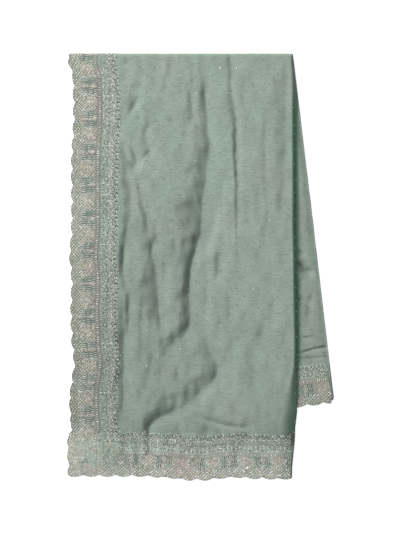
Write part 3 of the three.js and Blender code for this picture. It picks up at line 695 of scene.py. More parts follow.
border_columns = 44
border_rows = 372
y = down_cloth(hem_seam_y, border_rows)
edge_x = side_x(np.minimum(y, turn_y)) + scallop(y, side_notch, side_pitch)
x = lerp(edge_x, border_seam_x, np.linspace(0, 1, border_columns)[None, :])
y = np.broadcast_to(y, x.shape)
# Painted shade: the border's ground is painted darker towards the bottom.
side_tint = side_ground(x, y) * lerp(0.91, 1.03, smooth((y + 160) / 300))[..., None]
side_border = cloth_piece("side_border_cloth", on_front(x, y), embroidered_satin, np.stack([x, y], -1),
                          side_tint, lower=on_front(x, y, -cloth_thickness))
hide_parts("side_border")
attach(side_border, "root")

# ---- Edge of the second layer ----
# The next layer's scalloped border, which slips out a little from under the first one
# and shows as a dark edge between the scallops.

layer_gap = 0.3
under_slip = [(522, 2.5), (-250, 2.5), (-340, -1), (-400, -1), (-440, 1), (-500, 1)]
under_lag = 7
under_top = 500
under_low = hem_seam_y - 2 * side_pitch
under_share = 0.2  # of the way from the edge to the border's seam
edge_droop = 0.6
under_shade = 0.8
under_rows, under_columns = 380, 9

y = np.linspace(under_top, under_low, under_rows)[:, None]
edge_x = side_x(y) + read_line(under_slip, y) + scallop(y, side_notch + under_lag, side_pitch)
share = np.linspace(0, 1, under_columns)[None, :]
x = lerp(edge_x, lerp(side_x(y), border_seam_x, under_share), share)
y = np.broadcast_to(y, x.shape)
depth = -(cloth_thickness + layer_gap + edge_droop * (1 - share)) * np.ones_like(x)
under_border = cloth_piece("second_layer_edge", on_front(x, y, depth), embroidered_satin,
                           np.stack([x, y], -1), side_ground(x, y, under_lag) * under_shade,
                           lower=on_front(x, y, depth - cloth_thickness))
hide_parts("under_border")
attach(under_border, "root")

# ---- Hem border ----
# The same kind of band across the foot of the front half, seamed below the field. It
# turns the corner at the left, where its ground shows most, and goes round the side fold.

hem_pitch = 39.8
hem_notch = -286.1
last_hem_notch = 191.5
hem_ladder = (56, 63.5)
hem_inner = 112
hem_painted_light = 1.62  # how much lighter its ground is painted than the side border's: painted light against the shade on the hem
corner_green = srgb(135, 148, 138)
corner_edge = srgb(137, 142, 133)
corner_round = 9
corner_top = -496
corner_left = side_x(corner_top)
fold_foot = -515  # where the side fold ends, low in the hem


def hem_crest(x):
    near = (x - fold_x(hem_seam_y) + 20) / 20
    return hem_y(x) + 4 * smooth(near)


def hem_edge(x):
    """The lower edge: scallops, with a rounded corner at the left and a plain end at the side fold."""
    first = smooth((x - corner_left - corner_round) / 14)
    last = smooth((last_hem_notch + hem_pitch / 2 - x) / 12)
    y = hem_crest(x) + scallop(x, hem_notch, hem_pitch) * first * last
    rounded = np.clip(1 - (x - corner_left) / corner_round, 0, 1)
    return y + corner_round * (1 - np.sqrt(1 - rounded ** 2))


hem_rows = 46
hem_columns = 225
near_corner = 0.035  # of the way across, where the columns stand closer together
down = np.linspace(0, 1, hem_rows)[:, None]
across = np.concatenate([np.linspace(0, near_corner, 12)[:-1], np.linspace(near_corner, 1, hem_columns)])
right_x = fold_x(lerp(hem_seam_y, fold_foot, down)) - fold_reach
x = lerp(corner_left, right_x, across[None, :])
y = lerp(hem_seam_y, hem_edge(x), down)
shift = side_x(y) + scallop(y, side_notch, side_pitch) - corner_left
shift = shift * smooth((y - corner_top) / 6)
x = x + shift * np.clip(1 - (x - corner_left) / 90, 0, 1)
end_y = lerp(hem_seam_y, hem_crest(fold_x(fold_foot) - 2), down)
y = lerp(y, end_y, smooth((x - right_x + 12) / 12))


def hem_points(lower):
    edge = fold_x(end_y) + 0.6 * lower
    rolled = side_roll(edge, lambda at_x, proud: on_front(at_x, end_y, proud + lower), fold_reach)
    return np.concatenate([on_front(x, y, lower), *rolled], 1)


upper = hem_points(0)
upper_x, upper_y = upper[..., 0], upper[..., 1]
in_border = upper_y - hem_crest(upper_x)
hem_tint = border_ground(upper_x - hem_notch, in_border, hem_pitch, hem_ladder, hem_inner)
to_field = hem_inner - 24 - in_border
# Painted light: the hem's ground is painted lighter from the field out to its scalloped edge.
hem_tint = hem_tint * lerp(1, hem_painted_light, smooth(to_field / 14))[..., None]
# One stretch is a little rosier.
rosiness = bump(upper_x + 43, 34)[..., None] * np.array([0.12, 0, 0.02]) * smooth(to_field / 20)[..., None]
hem_tint = hem_tint * (1 + rosiness)
# The corner shows more of its ground, and runs up into the side border's.
corner_tint = tinted(corner_green, corner_edge, band(in_border, -20, 24, 10))
corner_tint = tinted(corner_tint, corner_edge, smooth((44 - (upper_x - side_x(upper_y))) / 30))
low_share = smooth((hem_seam_y - 12 - upper_y) / 14)[..., None]
corner_tint = lerp(side_ground(upper_x, upper_y), corner_tint, low_share)
hem_tint = lerp(hem_tint, corner_tint, smooth((border_seam_x - upper_x) / 8)[..., None])
hem_border = cloth_piece("hem_border_cloth", upper, embroidered_satin, upper[..., [1, 0]], hem_tint,
                         lower=hem_points(-cloth_thickness))
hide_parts("hem_border")
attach(hem_border, "root")

# ---- Back cloth ----
# The back half's plain field, which swings out to the right from under the front half
# with its own side fold, and lies a little creased.

back_seam = 760
back_start = 20
back_tuck = 12.5
back_reach = 2.2
back_rows, back_columns = 300, 60
back_creases = [
    ([(-84, 729, 3, 0.5), (-60, 728, 4, 1.2), (-36, 724, 4, 1.7), (-6, 722, 4, 1.4)], 5),
    ([(-84, 741, 3, 0.4), (-50, 744, 4, 1.0), (-6, 747, 3, 0.5)], 6),
    ([(-60, 474, 8, 1.6), (-50, 481, 10, 2.8), (-36, 487, 9, 2.0), (-25, 488, 5, 0.3)], 9),
    ([(-60, 504, 7, 1.4), (-49, 512, 10, 3.6), (-38, 521, 13, 5.4), (-28, 531, 13, 5.8), (-20, 541, 10, 3.0),
      (-13, 552, 6, 0.2)], 11),
    ([(-66, 512, 5, 1.8), (-54, 518, 6, 2.6), (-44, 524, 5, 0.6)], 5),
    ([(-26, 548, 8, 0.2), (-40, 556, 10, 0.9), (-58, 566, 10, 1.3), (-70, 584, 8, 0.4)], 12),
    ([(-66, 604, 8, 0.6), (-52, 600, 10, 1.6), (-38, 606, 8, 0.8)], 10),
    ([(-22, 596, 6, 0.4), (-30, 612, 8, 1.4), (-34, 640, 8, 1.0), (-36, 660, 6, 0.3)], 10),
    ([(-64, 650, 3, 0.4), (-66, 680, 3, 1.0), (-69, 710, 3, 0.5)], 4),
    ([(-76, 690, 4, 0.4), (-50, 694, 5, 0.9), (-30, 690, 4, 0.4)], 6),
    ([(-24, 250, 8, 0.1), (-28, 330, 10, 0.8), (-30, 420, 9, 0.9), (-26, 500, 7, 0.2)], 14),
]


def back_top(u, v):
    u, v = np.broadcast_arrays(np.asarray(u, float), np.asarray(v, float))
    z = back_pile - 1.2 * bump(u, 12) + 0.35 * ripple(1.3 * u, v)
    for number, crease in enumerate(back_creases):
        z = z + crease_height(u, v, crease, number)
    return z


def on_back(u, v, proud=0.0):
    u, v = np.broadcast_arrays(np.asarray(u, float), np.asarray(v, float))
    x, y = from_back(u, v)
    return np.stack([x, y, back_top(u, v) + proud], -1)


def tuck_u(v, tuck):
    """Where the back cloth ends, tucked in under the front half's side fold."""
    u = np.zeros_like(v)
    for _ in range(4):
        y = from_back(u, v)[1]
        u = (fold_x(y) - tuck - back_corner[0] - v * math.sin(back_tilt)) / math.cos(back_tilt)
    return u


v = np.linspace(back_start, back_seam, back_rows)[:, None]
first = np.minimum(tuck_u(v, back_tuck), -lip_end - 0.5)
flat_part = on_back(lerp(first, -back_reach, np.linspace(0, 1, back_columns)[None, :]), v)
rolled_part = side_roll(0.0, lambda at_u, proud: on_back(at_u, v, proud), back_reach)
upper = np.concatenate([flat_part, *rolled_part], 1)
u, v = to_back(upper[..., 0], upper[..., 1])
from_fold = upper[..., 0] - fold_x(upper[..., 1])
# Painted shadow: beside the front half's side fold the back cloth is painted deep green. It is also a little
# darker overall.
back_tint = tinted(np.array(sage) * 0.92, fold_shade_green, 0.3 * smooth(1.2 - from_fold / 15))
# Painted light and shade: its own side fold is painted lighter where its turn lies in shade, and one small
# hollow beside the fold is painted darker.
back_tint = back_tint * lerp(1, 2.4, smooth((u + 3.5) / 2.5))[..., None]
back_tint = back_tint * (1 - 0.3 * bump(np.hypot((u + 26) / 11, (v - 529) / 9), 1))[..., None]
back_cloth = cloth_piece("back_cloth", upper, sage_satin, np.stack([u, v], -1), back_tint)
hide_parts("back_panel")
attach(back_cloth, "root")

# ---- Back hem border ----
# The foot of the back half, worked like the front hem.

back_notch = -27.2
back_pitch = 40
back_ladder = (55, 67)
back_inner = back_length - back_seam
back_paleness = 1.22
back_hem_rows, back_hem_columns = 42, 62


def back_edge(u):
    crest = back_length - 14 * smooth((u + 12) / 12)
    return crest - scallop(u, back_notch, back_pitch) * smooth((-u - 5) / 5)


down = np.linspace(0, 1, back_hem_rows)[:, None]
first = tuck_u(lerp(back_seam, back_length, down), back_tuck)
u = lerp(first, -back_reach, np.linspace(0, 1, back_hem_columns)[None, :])
end_v = lerp(back_seam, back_edge(-3), down)
v = lerp(lerp(back_seam, back_edge(u), down), end_v, smooth((u + back_reach + 8) / 8))


def back_hem_points(lower):
    rolled = side_roll(0.3 * lower, lambda at_u, proud: on_back(at_u, end_v, proud + lower), back_reach)
    return np.concatenate([on_back(u, v, lower), *rolled], 1)


upper = back_hem_points(0.0)
flat_u, flat_v = to_back(upper[..., 0], upper[..., 1])
in_border = back_length - flat_v
back_tint = border_ground(back_notch - flat_u, in_border, back_pitch, back_ladder, back_inner) * back_paleness
back_hem = cloth_piece("back_hem_cloth", upper, embroidered_satin, np.stack([flat_v, flat_u], -1), back_tint,
                       lower=back_hem_points(-cloth_thickness))
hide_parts("back_hem_border")
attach(back_hem, "root")

# ---- Folded layers ----
# The rest of the cloth, folded flat beneath what shows. Only its edges are seen, each
# layer a rounded edge a little in or out from the next.

layer_satin = satin_material("layer_satin", srgb(112, 125, 115), 0.15, 0.07)
shown_layers = 5
edge_inset = 2.5
hem_inset = 8.5
fold_inset = 2.4
core_end_y = turn_y - 2
core_depth = 1.8
under_depth = 2 * (cloth_thickness + layer_gap) + 0.2
lowest_face = 0.3


def layered_slab(grid, wander):
    """A flat pile with a rounded edge to each layer: an upper face, its rim and a flat underside."""
    rows, columns = grid.shape[:2]
    loop = outline(rows, columns)
    corner = grid.reshape(-1, 3)[loop]
    ahead = np.roll(corner, -1, 0) - np.roll(corner, 1, 0)
    out = np.stack([ahead[:, 1], -ahead[:, 0]], -1)
    out /= np.linalg.norm(out, axis=1)[:, None] + 1e-9
    if ((corner[:, :2] - corner[:, :2].mean(0)) * out).sum() < 0:
        out = -out
    place = np.cumsum(np.linalg.norm(np.diff(corner[:, :2], axis=0, append=corner[:1, :2]), axis=1))
    points, faces = [grid.reshape(-1, 3)], face_rows(rows, columns).tolist()
    above, total = loop, rows * columns
    for k in range(shown_layers):
        shift = 0.9 * np.sin(place / 61 + wander * k) + 0.7 * np.sin(place / 23 + 2.3 * k)
        for height, reach in ((0.97, 0.2), (0.75, 1.3), (0.45, 1.5), (0.15, 0.9), (0.0, -0.6)):
            ring = corner.copy()
            ring[:, :2] += out * (reach + shift)[:, None] if k or height < 0.97 else out * 0.2
            ring[:, 2] = corner[:, 2] * (1 - (k + 1 - height) / shown_layers)
            points.append(ring)
            here = total + np.arange(len(loop))
            total += len(loop)
            faces += np.stack([above, np.roll(above, -1), np.roll(here, -1), here], -1).tolist()
            above = here
    return np.vstack(points), [*faces, above[::-1].tolist()]


y = np.linspace(core_end_y, corner_top + 6, 260)[:, None]
across = np.concatenate([np.linspace(0, 0.25, 12)[:-1], np.linspace(0.25, 1, 24)])[None, :]
first = side_x(y) + edge_inset + scallop(y, side_notch, side_pitch)
x = lerp(first, fold_x(y) - fold_inset, across)
y = np.broadcast_to(y, x.shape)
depth = np.where((x - side_x(y)) < 26, under_depth + edge_droop, core_depth)
depth = depth + 1.7 * smooth((x - fold_x(y) + 20) / 6)
foot_y = np.maximum(hem_edge(x[-1:]) + 3, y[-1:] - 30)
front_slab = np.concatenate([on_front(x, y, -depth), on_front(x[-1:], foot_y, -core_depth)], 0)

v = np.linspace(14, back_length - hem_inset, 200)[:, None]
u = lerp(tuck_u(v, 60), -fold_inset, np.linspace(0, 1, 40)[None, :])
back_slab = on_back(u, v, -core_depth - 1.7 * smooth((u + 20) / 6))
back_slab = np.concatenate([back_slab, on_back(u[-1:], back_edge(u[-1:]) - 3, -core_depth)], 0)
back_slab[..., 2] = np.maximum(back_slab[..., 2], lowest_face)

# The rounded end of the pile inside the turn over the top, with its layers end on.
turn_steps = 15
angles = np.linspace(math.pi / 2, -math.pi / 2, turn_steps)[:, None]
radius_steps = np.array([1.0, 0.86, 0.84, 0.7, 0.68, 0.54, 0.52, 0.38, 0.36, 0.2, 0.0])
end_inset = np.array([0, 0, 1.4, 1.0, 2.2, 1.2, 2.4, 1.6, 2.8, 2.0, 2.0])
left_x, right_x = side_x(turn_y) + edge_inset + scallop_depth, fold_x(turn_y) - fold_inset
middle_x = np.linspace(left_x + 20, right_x - 20, 12)
span = np.concatenate([left_x + end_inset[::-1], middle_x, right_x - end_inset])
reach = np.concatenate([radius_steps[::-1], np.ones(len(middle_x)), radius_steps])
half = front_top(np.clip(span, left_x, right_x), np.full_like(span, turn_y)) / 2
round_end = np.stack([
    np.broadcast_to(span, (turn_steps, len(span))),
    core_end_y + reach * turn_radius * np.cos(angles),
    half + reach * (half - core_depth) * np.sin(angles)], -1)
across = np.arange(len(span) - 1)
low = (turn_steps - 1) * len(span)
closing = np.stack([across, across + low, across + low + 1, across + 1], -1)
round_faces = np.vstack([face_rows(*round_end.shape[:2]), closing]).tolist()

points, faces = [], []
for part, part_faces in (layered_slab(front_slab, 2.1), layered_slab(back_slab, 1.3),
                         (round_end.reshape(-1, 3), round_faces)):
    before = sum(map(len, points))
    points.append(part)
    faces += [[number + before for number in face] for face in part_faces]
points = np.vstack(points)
folded_layers = new_piece("folded_layers", points, faces, [layer_satin], {"weave": points[:, :2] * MM})
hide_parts("hidden_layers")
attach(folded_layers, "root")

# ---- Border embroidery ----
# Hand and machine work in silver, old gold, dusty rose and green thread: an overcast
# scalloped edge, a net of stitches, flowers between barred patches, a ladder of rungs,
# sprigs and rings, and chevrons of beads beside the field.


def thread_tone_and_shade():
    """Twisted thread or beads: the tone differs from stitch to stitch, and below the middle, above the hem,
    it is painted darker as painted shade.
    """
    tree, given, made = group_tree(
        "thread_tone_and_shade", [("Color", "NodeSocketColor", (0.4, 0.4, 0.4, 1))], [("Color", "NodeSocketColor")])
    place = add_node(tree, "ShaderNodeTexCoord").outputs["Object"]
    noise = add_node(tree, "ShaderNodeTexNoise", {"Vector": place, "Scale": 170.0, "Detail": 1.0})
    up = add_node(tree, "ShaderNodeSeparateXYZ", {0: place}).outputs["Y"]
    above, below = mapped(tree, up, -0.16, 0.14, 0.91, 1.03), mapped(tree, up, -0.37, -0.42, 0.91, 1.0)
    shade_level = math_node(tree, "MAXIMUM", above, below)
    tone = math_node(tree, "MULTIPLY", mapped(tree, noise.outputs["Fac"], 0.3, 0.7, 0.72, 1.22), shade_level)
    tree.links.new(scaled(tree, given.outputs["Color"], tone), made.inputs["Color"])
    return tree


thread_group = thread_tone_and_shade()


def thread_material(name, colour, roughness, metal=0.0):
    material = new_material(name, colour, roughness, Metallic=metal, Sheen_Weight=0.3, Specular_IOR_Level=0.5)
    tree = material.node_tree
    toned = add_node(tree, "ShaderNodeGroup", {"Color": (*colour, 1)}, node_tree=thread_group)
    tree.links.new(toned.outputs["Color"], tree.nodes["Principled BSDF"].inputs["Base Color"])
    return material


SILVER, GOLD, ROSE, GREEN, DARK, BEAD, MOSS, PINK = range(8)
threads = [
    thread_material("silver_thread", srgb(170, 171, 165), 0.42),
    thread_material("old_gold_thread", srgb(160, 154, 136), 0.45),
    thread_material("dusty_rose_thread", srgb(166, 149, 139), 0.5),
    thread_material("sage_thread", srgb(108, 133, 119), 0.5),
    thread_material("dark_green_thread", srgb(50, 58, 52), 0.55),
    thread_material("silver_bead", srgb(208, 210, 204), 0.25),
    thread_material("moss_thread", srgb(82, 94, 86), 0.5),
    thread_material("rosy_thread", srgb(160, 145, 140), 0.5),
]


def as_rows(*columns):
    """Puts numbers, or lists of numbers, side by side in rows."""
    return np.stack(np.broadcast_arrays(*(np.atleast_1d(np.asarray(a, float)) for a in columns)), -1)


class Needlework:
    """Stitches and beads along one border, at s along it from a notch and d in from its crests."""

    def __init__(self, seed):
        self.stitches, self.beads = [], []
        self.hand = np.random.default_rng(seed)

    def stitch(self, s0, d0, s1, d1, colour, width, height):
        self.stitches.append(as_rows(s0, d0, s1, d1, colour, width, height))

    def bead(self, s, d, colour, radius, height):
        self.beads.append(as_rows(s, d, colour, radius, height))

    def line(self, s, d, colour, length, width, height):
        """Stitches end to end along a line of points."""
        s, d = np.asarray(s, float), np.asarray(d, float)
        far = np.concatenate([[0], np.cumsum(np.hypot(np.diff(s), np.diff(d)))])
        count = max(1, int(round(far[-1] / length)))
        at = np.linspace(0, far[-1], count + 1)
        ps, pd = np.interp(at, far, s), np.interp(at, far, d)
        gap = 0.12
        self.stitch(lerp(ps[:-1], ps[1:], gap), lerp(pd[:-1], pd[1:], gap),
                    lerp(ps[1:], ps[:-1], gap), lerp(pd[1:], pd[:-1], gap), colour, width, height)

    def ring(self, s, d, across, along, colour, count, width, height):
        a = np.linspace(0, 2 * math.pi, count + 1)
        ps, pd = s + along * np.cos(a), d + across * np.sin(a)
        self.stitch(ps[:-1], pd[:-1], ps[1:], pd[1:], colour, width, height)


def grid_numbers(rows, columns):
    """The row and the column of every place in a grid, as two flat lists."""
    return (a.ravel() for a in np.meshgrid(np.arange(rows), np.arange(columns)))


overcast = 29  # stitches over the edge of each scallop


def work_edge(work, pitch, n, reach, bright=1.0, open_from=24, painted_dark=0.0):
    """The overcast edge of one scallop, and the net of crossed stitches that runs in from it, with
    a bead at each knot. The last argument is the share of dark thread near the edge, painted shade."""
    hand = work.hand
    s0 = n * pitch
    s = s0 + np.arange(0.5, overcast) * pitch / overcast
    off = 2 * (s - s0) / pitch - 1
    e = scallop_depth * off ** 2
    tint = np.where(hand.random(overcast) < painted_dark, MOSS, hand.choice([SILVER, GOLD, SILVER, GREEN], overcast))
    work.stitch(s, e + 0.1, s - 0.8 * off, e + 2.4, tint, 1.2, 0.6)
    across, down = pitch / 5, 4.05
    i, j = grid_numbers(int(reach / down) + 2, 6)
    s = s0 + (j + 0.5 * (i % 2)) * across
    off = np.abs(2 * (s - s0) / pitch - 1)
    d = 3.2 + i * down
    from_small = np.abs(s / pitch - 2 * np.round((s / pitch - 1) / 2) - 1) * pitch
    barred = (from_small > 4) & (from_small < 19) & (d > open_from)
    keep = (d <= reach) & (s < s0 + pitch - 0.1) & ~barred
    s, d, off = s[keep], d[keep], off[keep]
    d = d + scallop_depth * off ** 2 * np.maximum(0, 1 - d / 34)
    for lean in (-1, 1):
        tint = hand.choice([SILVER, SILVER, GOLD, GOLD, ROSE, GREEN], len(s))
        tint = np.where((d < 17) & (hand.random(len(s)) < painted_dark - 0.1), MOSS, tint)
        work.stitch(s, d, s + 0.5 * lean * across, d + down, tint, 1.25 * bright, 0.5)
    outer = d < 24
    knots = outer | (hand.random(len(s)) < 0.55)
    s, d, outer = s[knots], d[knots], outer[knots]
    tint = hand.choice([BEAD, SILVER, SILVER, SILVER, GOLD], len(s))
    work.bead(s, d, tint, np.where(outer, 1.6, 1.3) * bright ** 0.5, 1.0)


def work_flower(work, s, d, petal, petals, leaf):
    """A flower seen from above, with leaves that fan towards the edge."""
    hand = work.hand
    shades = [ROSE, ROSE, SILVER] if hand.random() < 0.55 else [SILVER, GOLD, SILVER, ROSE]
    for a in np.arange(petals) * 2 * math.pi / petals + 0.3 * s:
        for lean, share in ((-0.3, 0.85), (0, 1), (0.3, 0.85)):
            work.stitch(s + 1.4 * math.sin(a), d + 1.4 * math.cos(a),
                        s + petal * share * math.sin(a + lean), d + petal * share * math.cos(a + lean),
                        hand.choice(shades), 1.25, 0.7)
    work.bead(s, d, BEAD, 1.1, 1.1)
    for a in (-1.1, -0.62, -0.2, 0.2, 0.62, 1.1):
        near, far = petal + 0.8, petal + leaf * hand.uniform(0.8, 1.1)
        for side in (-0.8, 0.8):
            work.stitch(s + near * math.sin(a) + side, d - near * math.cos(a),
                        s + far * math.sin(a) + 0.4 * side, d - far * math.cos(a),
                        hand.choice([GOLD, GOLD, SILVER]), 1.2, 0.65)


flower_moods = np.array([SILVER, GOLD, ROSE, ROSE, SILVER, GOLD, ROSE])


def work_filling(work, pitch, s0, rail):
    """Close slanting stitches between the net and the ladder's first rail."""
    hand = work.hand
    low = 23.0
    rows, columns = int((rail - low - 1) / 4.2), 9
    i, j = grid_numbers(rows, columns)
    s = s0 + (j + 0.5 * (i % 2)) * pitch / columns + hand.normal(0, 0.25, len(i))
    d = low + (i + 0.5) * (rail - low - 1) / rows + hand.normal(0, 0.25, len(i))
    from_flower = from_large(s, pitch)
    from_small = pitch - from_flower
    toss = hand.random(len(s))
    tint = np.where(toss < 0.5, SILVER, np.where(toss < 0.74, GOLD, np.where(toss < 0.84, ROSE, DARK)))
    mood = flower_moods[np.round(s / pitch / 2).astype(int) % len(flower_moods)]
    tint = np.where((from_flower < 14) & (d > 34) & (toss < 0.5), mood, tint)
    tint = np.where((from_flower < 19) & (d < 46) & (toss > 0.6), GOLD, tint)
    tint = np.where((from_small > 14) & (from_small < 22) & (d > 24) & (toss < 0.7), GREEN, tint)
    keep = ~((from_small > 4) & (from_small < 19) & (d > 24))
    lean = np.where((i + j) % 2, 1.7, -1.7)
    s, d, lean, tint = s[keep], d[keep], lean[keep], tint[keep]
    work.stitch(s - lean, d - 1.7, s + lean, d + 1.7, np.where(tint == DARK, MOSS, tint), 1.5, 0.45)
    speck = hand.random(len(s)) < 0.2
    work.bead(s[speck] + 1.8, d[speck], hand.choice([BEAD, SILVER, DARK], speck.sum()), 1.2, 0.9)


def work_bars(work, pitch, s0, small, rail):
    """Barred patches beside the small flower, and a light ring or a leaf at the crest."""
    hand = work.hand
    for side in (-1, 1):
        centre = small + side * 11.5
        if not s0 <= centre < s0 + pitch:
            continue
        for low, high in ((0.42, 0.6), (0.66, 0.8), (0.86, 0.97)):
            if hand.random() < 0.1:
                continue
            middle = centre + hand.normal(0, 1.2)
            for k in range(4):
                at = middle + (k - 1.5) * 4.4
                work.stitch(at, rail * low, at, rail * high, hand.choice([MOSS, DARK, DARK]), 2.0, 0.7)
                work.stitch(at + 2.2, rail * low, at + 2.2, rail * high, SILVER, 1.7, 0.7)
        crest = small + side * 18.5
        if hand.random() < 0.4:
            work.ring(crest, rail * 0.5, 4.6, 3.2, BEAD, 12, 1.0, 0.7)
        else:
            leaf = np.array([0.4, 0.6, 0.92]) * rail
            work.line([crest, crest + 2 * side, crest], leaf, SILVER, 2.8, 1.0, 0.6)


def work_ladder(work, pitch, s0, ladder, rungs):
    """Two rails with rungs between."""
    s = s0 + (np.arange(rungs) + 0.5) * pitch / rungs
    tint = work.hand.choice([SILVER, SILVER, BEAD, GOLD, ROSE], rungs)
    work.stitch(s, ladder[0] + 2, s, ladder[1] - 2.5, tint, 2.4, 0.7)
    for rail in ladder:
        work.line([s0, s0 + pitch], [rail, rail], SILVER, 2.9, 0.9, 0.5)


def work_inner_band(work, pitch, s0, low, high, upright_rows):
    """Close filling inside the ladder, with a scroll, its leaves and small rings."""
    hand = work.hand
    room = high - low

    def scroll(s):
        return low + room * (0.5 + 0.32 * np.sin(2 * math.pi * s / (pitch * 0.7)))

    rows, columns = max(2, int(room / 3.0)), 14
    i, j = grid_numbers(rows, columns)
    s = s0 + (j + 0.5 * (i % 2)) * pitch / columns + hand.normal(0, 0.4, len(i))
    d = low + (i + 0.5) * room / rows + hand.normal(0, 0.4, len(i))
    by_scroll = np.abs(d - scroll(s))
    turn = 0.6 * np.cos(2 * math.pi * s / (pitch * 0.7)) + hand.normal(0, 0.5, len(s))
    tint = hand.choice([SILVER, SILVER, SILVER, SILVER, SILVER, GREEN, GREEN, BEAD], len(s))
    # Low dark moss stitches a little off the scroll are its painted shadow.
    tint = np.where((by_scroll > 3.2) & (by_scroll < 6) & (hand.random(len(s)) < 0.4), MOSS, tint)
    ring_s, ring_d = s0 + hand.uniform(0.35, 0.65) * pitch, low + hand.uniform(0.34, 0.46) * room
    keep = np.hypot((s - ring_s) / 6.6, (d - ring_d) / 6) > 1
    s, d, turn, tint = s[keep], d[keep], turn[keep], tint[keep]
    ds, dd = 1.3 * np.cos(turn), 1.3 * np.sin(turn)
    work.stitch(s - ds, d - dd, s + ds, d + dd, tint, 1.3, np.where(tint == MOSS, 0.3, 0.55))
    for place in (0.12, 0.37, 0.62, 0.87) if upright_rows else ():
        # An upright row of beads stands on the ladder.
        count = int(room * hand.uniform(0.3, 0.95) / 2.4)
        at = s0 + place * pitch + hand.normal(0, 1)
        work.bead(at, low + 2.4 * np.arange(count), hand.choice([BEAD, SILVER, SILVER], count), 0.9, 0.7)
    at = s0 + np.linspace(0, pitch, 16)
    work.line(at, scroll(at), SILVER, 2.6, 1.0, 0.7)
    for place in range(4):
        for level in (0.15, 0.55, 0.9):
            ps = s0 + (place + 0.5 * (level == 0.55)) * pitch / 4 + hand.normal(0, 0.9)
            pd = low + level * room + hand.normal(0, 1.0)
            if math.hypot(ps - ring_s, pd - ring_d) < 8:
                continue
            bend = hand.choice([-1, 1])
            work.stitch(ps - 2.1, pd - 2.1 * bend, ps, pd, hand.choice([MOSS, MOSS, DARK]), 2.2, 0.75)
            work.stitch(ps, pd, ps + 2.4, pd - 0.8 * bend, hand.choice([MOSS, DARK]), 2.0, 0.75)
    work.ring(ring_s, ring_d, 4.4, 5.4, hand.choice([MOSS, MOSS, GREEN]), 12, 1.7, 0.7)
    work.ring(ring_s, ring_d, 1.9, 2.3, SILVER, 8, 1.5, 0.7)


def work_chevrons(work, pitch, s0, inner, hem):
    """A chain of beads, then chevrons of beads and dark stitches, two to a scallop, that edge the field."""
    hand = work.hand
    count = 11
    chain = s0 + (np.arange(count) + 0.5) * pitch / count
    work.bead(chain, inner - 17, hand.choice([SILVER, BEAD], count), 1.0, 0.8)
    arm = pitch / 4
    bead_rows = ((0, [BEAD, SILVER, SILVER], 3.0, 1.3), (9.5, [BEAD, SILVER, GOLD], 3.2, 1.2))
    for repeat in range(2):
        middle = s0 + (repeat + 0.5) * pitch / 2 + hand.normal(0, 0.8)
        for back, mixed_beads, step, radius in bead_rows:
            away = np.arange(-arm, arm, step)
            away = away + hand.normal(0, 0.35, len(away))
            beads_d = inner - 2 - back - 1.25 * np.abs(away) + hand.normal(0, 0.5, len(away))
            work.bead(middle + away, beads_d, hand.choice(mixed_beads, len(away)), radius, 1.0)
        away = np.arange(-arm + 1, arm, 2.6)
        stitch_d = inner - 6.6 - 1.25 * np.abs(away) + hand.normal(0, 0.7, len(away))
        tint = hand.choice([MOSS, MOSS, SILVER, GREEN] if hem else [DARK, MOSS, MOSS, SILVER], len(away))
        work.stitch(middle + away - 0.8, stitch_d - 1.6, middle + away + 0.8, stitch_d + 1.6, tint, 2.1, 0.7)
        for place in (-0.5, 0, 0.5):
            heavy = hand.uniform(0.5, 1.0) * (0.7 if hem else 1.0)
            foot = middle + 2 * place * arm + hand.normal(0, 0.9)
            tip = inner + hand.normal(0, 1.4) - (0 if place == 0 else 3)
            work.stitch(foot - 1.2, tip - 5.5, foot + 0.9, tip, MOSS if hem else DARK, 2.6 * heavy, 0.6)
            work.stitch(foot + 2.4, tip - 6, foot + 1.8, tip - 2, MOSS, 1.9, 0.6)
            work.bead(foot + 3.6, tip - 2.5 + hand.normal(0, 1), BEAD, 1.25, 0.9)


def work_border(work, pitch, first, last, ladder, inner, painted_dark, hem=False, bright=1.0):
    """Fills a border from its first to its last scallop, counted in pitches from a notch.
    A large flower stands at every other notch, a small one between barred patches at the next.
    The table after inner gives each scallop's share of dark thread in its edge, as painted shade."""
    hand = work.hand
    rail = ladder[0]
    for n in range(first, last):
        s0 = n * pitch
        work_edge(work, pitch, n, rail - 5, bright, painted_dark=painted_dark[n])
        work_filling(work, pitch, s0, rail)
        if n % 2 == 0:
            s, d = s0 + hand.normal(0, 1.5), rail - hand.uniform(10, 15)
            work_flower(work, s, d, hand.uniform(4.5, 6.5), 6, 9)
        else:
            work_flower(work, s0 + hand.normal(0, 1), rail - 6, 3.4, 5, 5)
        work_bars(work, pitch, s0, s0 if n % 2 else s0 + pitch, rail)
        work_ladder(work, pitch, s0, ladder, 8 if hem else 7)
        if not hem:
            work.line([s0, s0 + pitch], [ladder[1] - 0.8, ladder[1] - 0.8], DARK, 3.2, 1.0, 0.5)
        low, high = ladder[1] + 3, inner - 14
        work_inner_band(work, pitch, s0, low, high, upright_rows=hem)
        if n % 3 == 1:
            work.bead(s0 + pitch * 0.6, low + np.arange(int((high - low) / 2.3)) * 2.3 + 1, BEAD, 1.0, 0.9)
        work_chevrons(work, pitch, s0, inner, hem)


bead_sides = 6


